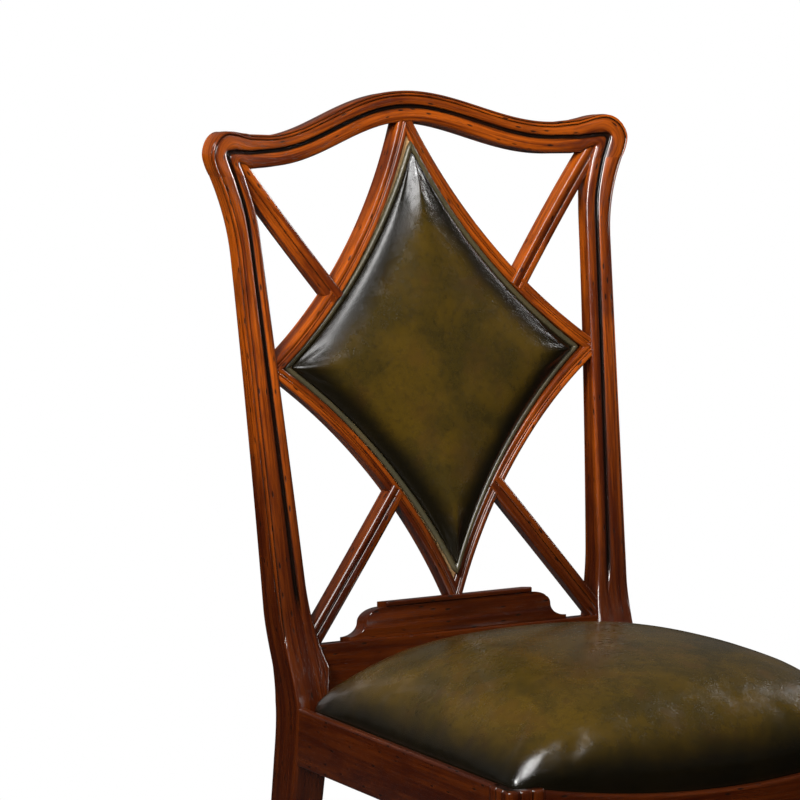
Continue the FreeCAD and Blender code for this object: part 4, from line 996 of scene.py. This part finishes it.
panelLine, panelSlope = panelLines()


def panelPoint(across, rise, behind):
    return Vector((across, panelLine + panelSlope * rise + behind, diamondShape["middle"] + rise))


def panelOutline(inset, steps):
    # four concave sides, from the right tip round by the top
    radius = diamondShape["radius"] + diamondShape["width"] + padShape["gap"] + inset
    first, last = math.asin(bowCentre.y / radius), math.acos(bowCentre.x / radius)
    quarter = []
    for step in range(steps):
        turn = between(first, last, step / steps)
        quarter.append((bowCentre.x - radius * math.cos(turn), bowCentre.y - radius * math.sin(turn)))
    top = (0, bowCentre.y - math.sqrt(radius ** 2 - bowCentre.x ** 2))
    right = (quarter[0][0], 0)
    upperLeft = [top] + [(-x, z) for x, z in quarter[1:]][::-1]
    lowerLeft = [(-right[0], 0)] + [(-x, -z) for x, z in quarter[1:]]
    lowerRight = [(0, -top[1])] + [(x, -z) for x, z in quarter[1:]][::-1]
    return [right] + quarter[1:] + upperLeft + lowerLeft + lowerRight


def panelGrid(inset, rows, columns):
    # rows across the diamond from the lower tip to the upper one; gives places, faces and the edge in order
    radius = diamondShape["radius"] + diamondShape["width"] + padShape["gap"] + inset
    tip = bowCentre.y - math.sqrt(radius ** 2 - bowCentre.x ** 2)
    spots, faces = [(0.0, -tip)], []
    for row in range(1, rows):
        rise = tip * (2 * row / rows - 1)
        half = bowCentre.x - math.sqrt(radius ** 2 - (bowCentre.y - abs(rise)) ** 2)
        spots += [(half * math.sin(math.pi * (column / columns - 0.5)), rise) for column in range(columns + 1)]
    spots.append((0.0, tip))
    wide, last = columns + 1, len(spots) - 1
    for row in range(rows - 2):
        low = 1 + row * wide
        faces += [(low + k, low + k + 1, low + wide + k + 1, low + wide + k) for k in range(columns)]
    faces += [(0, 2 + k, 1 + k) for k in range(columns)]
    faces += [(last, last - wide + k, last - wide + k + 1) for k in range(columns)]
    left, right = [[edge + row * wide for row in range(rows - 1)] for edge in (1, wide)]
    return spots, faces, [0] + right + [last] + left[::-1], radius


def rimShare(across, rise, radius):
    # 1 at the pad's edge and 0 at its middle, along the ray from the middle
    a, b = abs(across), abs(rise)
    square = a * a + b * b
    if square < 1e-9:
        return 0.0
    toward = a * bowCentre.x + b * bowCentre.y
    past = max(toward ** 2 - square * (bowCentre.length_squared - radius ** 2), 0)
    return min(square / (toward - math.sqrt(past)), 1.0)


def backPad():
    shape = padShape
    inset = 2 * (shape["pipingRadius"] + shape["pipingRoom"])
    spots, faces, rim, radius = panelGrid(inset, shape["rows"], shape["columns"])
    points, burnish = [], []
    for across, rise in spots:
        share = rimShare(across, rise, radius)
        points.append(panelPoint(across, rise, -shape["crown"] * math.sqrt(max(1 - share ** shape["crownPower"], 0))))
        deep = math.hypot(bowCentre.x - abs(across), bowCentre.y - abs(rise)) - radius
        burnish.append(1 - min(max(deep, 0) / shape["burnish"], 1))
    base = len(points)
    for index in rim:
        points.append(panelPoint(*spots[index], shape["recess"]))
        burnish.append(1.0)
    count = len(rim)
    faces += [(rim[k], rim[(k + 1) % count], base + (k + 1) % count, base + k) for k in range(count)]
    faces.append(tuple(range(base, base + count)))
    obj = meshObject("backPad", points, faces, [("rim", "FLOAT", burnish)], 60)
    still = np.zeros(len(points), bool)
    still[base:], still[rim] = True, True
    swell(obj, shape["soft"], lambda spot: still)
    smoothed(obj)
    return obj


pad = backPad()
finishPiece(pad, padHide, "chair_frame", "back_pad_leather", "back_pad_foam", slot="olive_leather")


def polygonArea(ring):
    return sum(a[0] * b[1] - b[0] * a[1] for a, b in zip(ring, ring[1:] + ring[:1])) / 2


def backLining():
    # leather over the back of the board, a thin sheet with a turned edge
    shape = padShape
    spots, faces, rim, radius = panelGrid(shape["liningInset"], shape["liningRows"], shape["liningColumns"])
    behind = shape["recess"] + shape["boardThick"] + shape["liningGap"]
    shares = [rimShare(x, z, radius) for x, z in spots]
    points = [panelPoint(x, z, behind + shape["liningBulge"] * (1 - share ** 6)) for (x, z), share in zip(spots, shares)]
    obj = meshObject("backPanelLining", points, faces, [("rim", "FLOAT", [share ** 5 for share in shares])], 60)
    thicken(obj, shape["liningThick"])
    half, tip = max(x for x, z in spots), max(z for x, z in spots)
    area = sum(abs(polygonArea([spots[k] for k in face])) for face in faces)
    slant = math.hypot(1, panelSlope)
    return obj, (2 * half * mm, 2 * tip * mm * slant), area * mm ** 2 * slant


lining, liningCut, liningArea = backLining()
finishPiece(lining, liningHide, "chair_frame", "back_panel_lining", slot="olive_leather")


# piping round the pad, a cord swept along its edge by a node tree

def nodeTree(name, inputs, output, kinds, links, modes=()):
    # links are (node, its output, next node, its input), set after the modes that open their sockets
    tree = bpy.data.node_groups.new(name, "GeometryNodeTree")
    face, keys = tree.interface, {}
    for label, kind in inputs.items():
        keys[label] = face.new_socket(label, in_out="INPUT", socket_type=f"NodeSocket{kind}").identifier
    face.new_socket(output, in_out="OUTPUT", socket_type="NodeSocketGeometry")
    kinds = {**kinds, "real": "GeometryNodeRealizeInstances", "coat": "GeometryNodeSetMaterial"}
    node = {key: tree.nodes.new(kind) for key, kind in kinds.items()}
    node["start"], node["end"] = tree.nodes.new("NodeGroupInput"), tree.nodes.new("NodeGroupOutput")
    for key, mode in modes:
        node[key].mode = mode
    links += (("real", "Geometry", "coat", "Geometry"), ("coat", "Geometry", "end", output))
    for first, out, second, into in links:
        tree.links.new(node[first].outputs[out], node[second].inputs[into])
    return tree, node, keys


def grownPiece(name, points, tree, keys, values):
    # a closed line of points in millimetres, made into a mesh by the tree
    count = len(points)
    mesh = bpy.data.meshes.new(f"{name}Line")
    mesh.from_pydata([tuple(p * mm) for p in points], [(i, (i + 1) % count) for i in range(count)], [])
    obj = bpy.data.objects.new(name, mesh)
    scene.collection.objects.link(obj)
    grow = obj.modifiers.new("grow", "NODES")
    grow.node_group = tree
    for label, value in values.items():
        grow[keys[label]] = value
    bakeModifiers(obj)
    obj.data.shade_smooth()
    return obj


def backPiping():
    shape = padShape
    path = panelOutline(shape["pipingRadius"] + shape["pipingRoom"], 60)
    points = [panelPoint(across, rise, shape["pipingRecess"]) for across, rise in path]
    inputs = {"Edge": "Geometry", "Cord Radius": "Float", "Cord Sides": "Int", "Leather": "Material"}
    kinds = {"curve": "GeometryNodeMeshToCurve", "ring": "GeometryNodeCurvePrimitiveCircle",
             "sweep": "GeometryNodeCurveToMesh"}
    links = (("start", "Edge", "curve", "Mesh"), ("start", "Cord Radius", "ring", "Radius"),
             ("start", "Cord Sides", "ring", "Resolution"), ("curve", "Curve", "sweep", "Curve"),
             ("ring", "Curve", "sweep", "Profile Curve"), ("sweep", "Mesh", "real", "Geometry"),
             ("start", "Leather", "coat", "Material"))
    tree, node, keys = nodeTree("sweptPiping", inputs, "Piping", kinds, links)
    values = {"Cord Radius": shape["pipingRadius"] * mm, "Cord Sides": 16, "Leather": pipingHide}
    return grownPiece("backPadPiping", points, tree, keys, values)


finishPiece(backPiping(), pipingHide, "chair_frame", "back_pad_piping", slot="olive_leather")
print("back pad made")


# drop-in seat

seatShape = {
    "clearance": 1, "ledge": 418, "rim": 444, "crown": 80, "corner": 16, "power": 2.5, "fall": 0.4, "rings": 30,
    "skin": 0.4, "below": 15, "wall": (430, 438), "roundOver": 14, "foot": 0.5,
    "voxel": 6, "smoothing": 60, "settling": 6,
    "soft": {"pressure": 4, "mass": 0.3, "slack": -0.002, "frames": 16, "cap": 0.008},
}


def seatOutline(inset):
    shape, rail = seatShape, railShape
    inward, offset = rail["lip"] + shape["clearance"] + inset, 2 * shape["clearance"] + inset
    turn = math.radians(rail["splay"])
    rear = Vector((-rail["outer"] - offset * math.tan(turn) + inward / math.cos(turn), rail["line"] - offset, 0))
    front = sideFrame(rail["length"] + rail["legSize"] - rail["legProud"] - inward, inward, 0)
    middleY = frontHalf()[1].y - rail["bow"] + inward
    left = [Vector((0, rear.y, 0))]
    forward = (front - rear).normalized()
    right = Vector((1, 0, 0))
    chord = (Vector((0, middleY, 0)) - front).normalized()

    def turnCorner(place, first, second):
        near, far = place + first * shape["corner"], place + second * shape["corner"]
        return [near * (1 - s) ** 2 + place * 2 * s * (1 - s) + far * s ** 2 for s in np.linspace(0, 1, 9)]

    left += [Vector((x, rear.y, 0)) for x in np.linspace(0, rear.x + shape["corner"], 26)[1:-1]]
    left += turnCorner(rear, right, forward)
    start, end = rear + forward * shape["corner"], front - forward * shape["corner"]
    left += [start.lerp(end, s) for s in np.linspace(0, 1, 34)[1:-1]]
    left += turnCorner(front, -forward, chord)
    start = front + chord * shape["corner"]
    small = (start.x ** 2 + (start.y - middleY) ** 2) / (2 * (start.y - middleY))
    bow = np.linspace(start.x, 0, 28)[1:]
    left += [Vector((x, middleY + small - math.sqrt(small ** 2 - x ** 2), 0)) for x in bow]
    return left + mirrored(left[1:-1])[::-1]


def seatRise(x, y, near, far):
    # how much of the crown stands at a place: full in the middle, falling to every edge, most at the corners
    shape, rail = seatShape, railShape
    splay = (rail["line"] - y) * math.tan(math.radians(rail["splay"]))
    aside = abs(x) / (rail["outer"] - rail["lip"] - shape["clearance"] + splay)
    along = abs(2 * (y - near) / (far - near) - 1)
    inside = max(1 - min(aside, 1) ** shape["power"], 0) * max(1 - min(along, 1) ** shape["power"], 0)
    return inside ** shape["fall"]


def cutLevel(obj, level):
    # takes off what is below a level and closes the cut
    work = bmesh.new()
    work.from_mesh(obj.data)
    everything = work.verts[:] + work.edges[:] + work.faces[:]
    cut = bmesh.ops.bisect_plane(work, geom=everything, plane_co=(0, 0, level), plane_no=(0, 0, 1), clear_inner=True)
    edges = [part for part in cut["geom_cut"] if isinstance(part, bmesh.types.BMEdge)]
    bmesh.ops.holes_fill(work, edges=edges, sides=0)
    bmesh.ops.recalc_face_normals(work, faces=work.faces[:])
    work.to_mesh(obj.data)
    work.free()
    for face in obj.data.polygons:
        face.use_smooth = face.normal.z > -0.9
    obj.data.update()


def soften(obj, times):
    even = obj.modifiers.new("soften", "SMOOTH")
    even.factor, even.iterations, even.vertex_group = 0.5, times, "free"


def seatPad():
    shape = seatShape
    rim = seatOutline(shape["skin"])
    around = len(rim)
    near, far = min(p.y for p in rim), max(p.y for p in rim)
    middle = Vector((0, (near + far) / 2, 0))
    # the skin runs on below the ledge and is cut off square there at the end
    rows = [(0.0, height) for height in (shape["ledge"] - shape["below"], *shape["wall"])]
    rows += [((k / shape["rings"]) ** 1.7, None) for k in range(shape["rings"])]
    points, faces = [], skin(len(rows), around)
    for draw, height in rows:
        for p in rim:
            spot = middle + (p - middle) * (1 - draw)
            dome = shape["rim"] + shape["crown"] * seatRise(spot.x, spot.y, near, far)
            points.append(Vector((spot.x, spot.y, dome if height is None else height)))
    points.append(middle + Vector((0, 0, shape["rim"] + shape["crown"])))
    last = (len(rows) - 1) * around
    faces += [(last + j, last + (j + 1) % around, len(points) - 1) for j in range(around)]
    faces.append(tuple(range(around)))
    obj = meshObject("seatCushion", points, faces, None, 60)
    blocks = obj.modifiers.new("even", "REMESH")
    blocks.mode, blocks.voxel_size = "VOXEL", shape["voxel"] * mm
    bakeModifiers(obj)
    # the stuffing rounds the corners off above the rim
    free = obj.vertex_groups.new(name="free")
    for index, height in enumerate(places(obj.data)[:, 2] / mm):
        free.add([index], ramp(height, shape["rim"], shape["rim"] + shape["roundOver"]), "REPLACE")
    soften(obj, shape["smoothing"])
    bakeModifiers(obj)
    swell(obj, shape["soft"], lambda spot: spot[:, 2] < (shape["rim"] - 1) * mm)
    soften(obj, shape["settling"])
    smoothed(obj)
    obj.vertex_groups.clear()
    cutLevel(obj, (shape["ledge"] + shape["foot"]) * mm)
    rise = (places(obj.data)[:, 2] / mm - shape["rim"]) / shape["crown"]
    layer = obj.data.attributes.new("rim", "FLOAT", "POINT")
    layer.data.foreach_set("value", np.float32(np.clip(1 - rise, 0, 1)))
    return obj


seat = seatPad()
finishPiece(seat, seatHide, "drop_in_seat", "seat_leather", "seat_foam", slot="olive_leather")
print("seat made")


# webbing under the seat, long straps woven through cross straps

webShape = {
    "width": 50, "thick": 1.6, "pitch": 75, "near": -248.9, "far": 111.4, "level": 440, "lift": 1.0, "inset": 35,
    "bend": 24, "steps": 60, "straps": 4,
}


def webbing():
    shape, rail = webShape, railShape
    count, half = shape["straps"], shape["width"] / 2
    rows = np.linspace(shape["near"] + half, shape["far"] - half, count)
    columns = [(k - (count - 1) / 2) * shape["pitch"] for k in range(count)]
    points, faces = [], []

    def strap(start, end, across, crossings, order):
        # a flat band that goes over and under at its crossings
        first, steps, run = len(points), shape["steps"], end - start
        for step in range(steps + 1):
            spot = start + run * step / steps
            along = spot.dot(run.normalized())
            lift = sum((1 if (k + order) % 2 else -1) * math.exp(-((along - place) / shape["bend"]) ** 2)
                       for k, place in enumerate(crossings))
            middle = spot + Vector((0, 0, shape["level"] + shape["lift"] * lift))
            for aside, up in ((-1, -1), (1, -1), (1, 1), (-1, 1)):
                rise = Vector((0, 0, up * shape["thick"] / 2))
                points.append(middle + across * (aside * shape["width"] / 2) + rise)
        band = skin(steps + 1, 4) + [tuple(range(4)), tuple(4 * steps + k for k in range(4))]
        faces.extend(tuple(first + k for k in face) for face in band)

    for order, across in enumerate(columns):
        ends = [Vector((across, along, 0)) for along in (shape["near"], shape["far"])]
        strap(*ends, Vector((1, 0, 0)), rows, order)
    for order, along in enumerate(rows):
        half = rail["outer"] + (rail["line"] - along) * math.tan(math.radians(rail["splay"])) - shape["inset"]
        strap(Vector((-half, along, 0)), Vector((half, along, 0)), Vector((0, 1, 0)), columns, order + 1)
    return meshObject("seatWebbing", points, faces, None, 40)


finishPiece(webbing(), jute, "drop_in_seat", "seat_webbing", slot="webbing")


# dust cover, a thin cloth drawn over the underside and tacked round its edge by a node tree

coverShape = {
    "level": 417.2, "thick": 0.5, "sag": 3.5, "rear": 129.9, "front": -243.9, "rearHalf": 170.4, "frontHalf": 193.3,
    "cells": 36, "ripple": 0.35,
    "tackInset": 5, "tackPitch": 32, "tackRadius": 3.2, "tackHeight": 1.4, "tackSink": 0.4, "tackSides": 12, "tackRings": 6,
}


def dustCover():
    shape, count = coverShape, coverShape["cells"]
    points, faces = [], []
    for row in range(count + 1):
        share = row / count
        for column in range(count + 1):
            aside = 2 * column / count - 1
            x = aside * between(shape["rearHalf"], shape["frontHalf"], share)
            y = between(shape["rear"], shape["front"], share)
            hang = shape["sag"] * (1 - abs(aside) ** 3) * (1 - abs(2 * share - 1) ** 3)
            ripple = shape["ripple"] * math.sin(aside * 21 + share * 9) * math.exp(-6 * min(share, 1 - share))
            points.append((x, y, shape["level"] - hang - abs(ripple)))
    wide = count + 1
    for row in range(count):
        low, high = row * wide, (row + 1) * wide
        faces += [(low + k, low + k + 1, high + k + 1, high + k) for k in range(count)]
    obj = meshObject("seatDustCover", points, faces, None, 60)
    thicken(obj, shape["thick"])
    return obj


def coverTacks():
    shape = coverShape
    inset, level = shape["tackInset"], shape["level"] - shape["tackSink"]
    rear, front = shape["rear"] - inset, shape["front"] + inset
    rearHalf, frontHalf = shape["rearHalf"] - inset, shape["frontHalf"] - inset
    corners = ((-rearHalf, rear), (rearHalf, rear), (frontHalf, front), (-frontHalf, front))
    ring = [Vector((x, y, level)) for x, y in corners]
    inputs = {"Edge": "Geometry", "Pitch": "Float", "Head Radius": "Float", "Head Scale": "Vector", "Metal": "Material"}
    kinds = {"curve": "GeometryNodeMeshToCurve", "steps": "GeometryNodeResampleCurve",
             "head": "GeometryNodeMeshUVSphere", "flat": "GeometryNodeTransform", "place": "GeometryNodeInstanceOnPoints"}
    links = (("start", "Edge", "curve", "Mesh"), ("curve", "Curve", "steps", "Curve"),
             ("start", "Pitch", "steps", "Length"), ("start", "Head Radius", "head", "Radius"),
             ("head", "Mesh", "flat", "Geometry"),
             ("start", "Head Scale", "flat", "Scale"), ("steps", "Curve", "place", "Points"),
             ("flat", "Geometry", "place", "Instance"), ("place", "Instances", "real", "Geometry"),
             ("start", "Metal", "coat", "Material"))
    tree, node, keys = nodeTree("tackRow", inputs, "Tacks", kinds, links, [("steps", "LENGTH")])
    node["head"].inputs["Segments"].default_value = shape["tackSides"]
    node["head"].inputs["Rings"].default_value = shape["tackRings"]
    scale = (1.0, 1.0, shape["tackHeight"] / shape["tackRadius"])
    values = {"Pitch": shape["tackPitch"] * mm, "Head Radius": shape["tackRadius"] * mm, "Head Scale": scale,
              "Metal": tackIron}
    return grownPiece("coverTacks", ring, tree, keys, values)


cover = finishPiece(dustCover(), cambric, "drop_in_seat", "seat_dust_cover", slot="dust_cloth")
tacks = finishPiece(coverTacks(), tackIron, "drop_in_seat", slot="screw_steel")
print("webbing and cover made")


# what stays from the frame: framing, dowels, screws and glides

carried = {
    beech: ["crest_dowels", "back_panel_board", "left_front_corner_block", "right_front_corner_block",
            "left_rear_corner_block", "right_rear_corner_block",
            "seat_frame_front", "seat_frame_left", "seat_frame_rear", "seat_frame_right"],
    steel: ["corner_block_screws"], nylon: ["foot_glides"],
}
for material, names in carried.items():
    for name in names:
        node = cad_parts[name]
        node.data.materials.clear()
        node.data.materials.append(material)


# floor, light and camera

stageLook = {
    "floor": rgb(226, 226, 224), "worn": rgb(206, 206, 204), "dim": rgb(74, 74, 74), "reach": 40.0,
    "light": rgb(250, 246, 240), "room": 0.035, "wall": 0.06,
}


def makeFloor():
    paint = Finish("paleFloor")
    camera, gloss, clear = paint.rays()
    speck = paint.noise(paint.objectPlace(), 3, 3, 0.5)
    tone = paint.mix(speck * 0.04, stageLook["floor"], stageLook["worn"])
    # polished faces see the floor as a dim studio floor
    tone = paint.mix(gloss, tone, stageLook["dim"])
    matt = paint.add("ShaderNodeBsdfDiffuse", {}, {"Color": tone})
    glow = paint.add("ShaderNodeEmission", {}, {"Color": (1, 1, 1, 1), "Strength": 1.0})
    share = camera.sum("MAXIMUM", camera, clear)
    # the glow gives way to plain paint near the chair, where its shadow falls
    middle = paint.add("ShaderNodeVectorMath", {"operation": "LENGTH"}, {0: paint.objectPlace()}, 1)
    both = paint.add("ShaderNodeMixShader", {}, {0: share * paint.fade(middle, 0.35, 1.5, 0.8, 1.0), 1: matt, 2: glow})
    paint.add("ShaderNodeOutputMaterial", {}, {"Surface": both})
    reach = stageLook["reach"]
    mesh = bpy.data.meshes.new("floor")
    corners = ((-reach, -reach, 0), (reach, -reach, 0), (reach, reach, 0), (-reach, reach, 0))
    mesh.from_pydata(corners, [], [(0, 1, 2, 3)])
    mesh.materials.append(paint.owner)
    obj = bpy.data.objects.new("floor", mesh)
    scene.collection.objects.link(obj)


def makeWorld():
    # white to the camera; a dim room with a pale wall behind the chair to everything else
    world = bpy.data.worlds.new("studio")
    scene.world = world
    sky = Finish("studio", world)
    camera, gloss, clear = sky.rays()
    aim = sky.add("ShaderNodeTexCoord", {}, {}, 0)
    depth = sky.add("ShaderNodeSeparateXYZ", {}, {0: aim}, 1)
    wall = sky.fade(depth, -0.1, 0.9, 0.01, stageLook["wall"])
    white = sky.add("ShaderNodeBackground", {}, {"Color": (1, 1, 1, 1), "Strength": 1.0})
    room = sky.add("ShaderNodeBackground", {}, {"Color": stageLook["light"], "Strength": stageLook["room"]})
    share = camera.sum("MAXIMUM", camera, clear.sum("MAXIMUM", gloss * wall, clear))
    both = sky.add("ShaderNodeMixShader", {}, {0: share, 1: room, 2: white})
    sky.add("ShaderNodeOutputWorld", {}, {"Surface": both})


studioLamps = {
    "leftBox": {"place": (-1.7, -0.7, 1.95), "aim": (0, 0.2, 1.05), "size": (0.6, 1.3), "power": 16, "spread": 70},
    "rightBox": {"place": (2.1, 0.35, 1.5), "aim": (0, 0.2, 1.05), "size": (0.4, 1.3), "power": 8, "spread": 75},
    "backBox": {"place": (0.0, 2.6, 1.9), "aim": (0, 0.2, 0.7), "size": (0.9, 0.9), "power": 8, "spread": 90,
                "mirrored": False},
    "topBox": {"place": (-0.65, -1.25, 2.1), "aim": (-0.1, -0.1, 0.5), "size": (1.0, 0.8), "power": 12, "spread": 100},
}


def makeLamps():
    for name, lamp in studioLamps.items():
        light = bpy.data.lights.new(name, "AREA")
        light.shape, light.size, light.size_y = "RECTANGLE", *lamp["size"]
        light.energy, light.spread = lamp["power"], math.radians(lamp["spread"])
        obj = bpy.data.objects.new(name, light)
        obj.location, obj.visible_glossy = lamp["place"], lamp.get("mirrored", True)
        obj.rotation_euler = (Vector(lamp["aim"]) - Vector(lamp["place"])).to_track_quat("-Z", "Y").to_euler()
        scene.collection.objects.link(obj)


viewPoint = {
    "azimuth": -31.55, "elevation": 7.768, "roll": 0.17, "distance": 4.945, "lens": 225, "sensor": 36, "image": 800,
    "target": (0, 0.2, 0.725), "targetPixel": (441.5, 395.1),
}


def makeCamera():
    view = viewPoint
    turn, lift = math.radians(view["azimuth"]), math.radians(view["elevation"])
    back = Vector((math.sin(turn) * math.cos(lift), -math.cos(turn) * math.cos(lift), math.sin(lift)))
    right = Vector((math.cos(turn), math.sin(turn), 0))
    up = back.cross(right)
    target = Vector(view["target"])
    place = target + back * view["distance"]
    pixels = view["lens"] / view["sensor"] * view["image"]
    aside = (view["targetPixel"][0] - view["image"] / 2) / pixels * view["distance"]
    above = (view["image"] / 2 - view["targetPixel"][1]) / pixels * view["distance"]
    aim = target - right * aside - up * above
    data = bpy.data.cameras.new("photoCamera")
    data.lens, data.sensor_width, data.sensor_fit = view["lens"], view["sensor"], "HORIZONTAL"
    data.clip_start, data.clip_end = 0.1, 200
    obj = bpy.data.objects.new("photoCamera", data)
    spin = (aim - place).to_track_quat("-Z", "Y").to_matrix().to_4x4()
    obj.matrix_world = Matrix.Translation(place) @ spin @ Matrix.Rotation(math.radians(view["roll"]), 4, "Z")
    scene.collection.objects.link(obj)
    scene.camera = obj


makeFloor()
makeWorld()
makeLamps()
makeCamera()
scene.view_settings.view_transform = "Standard"
print("stage set")
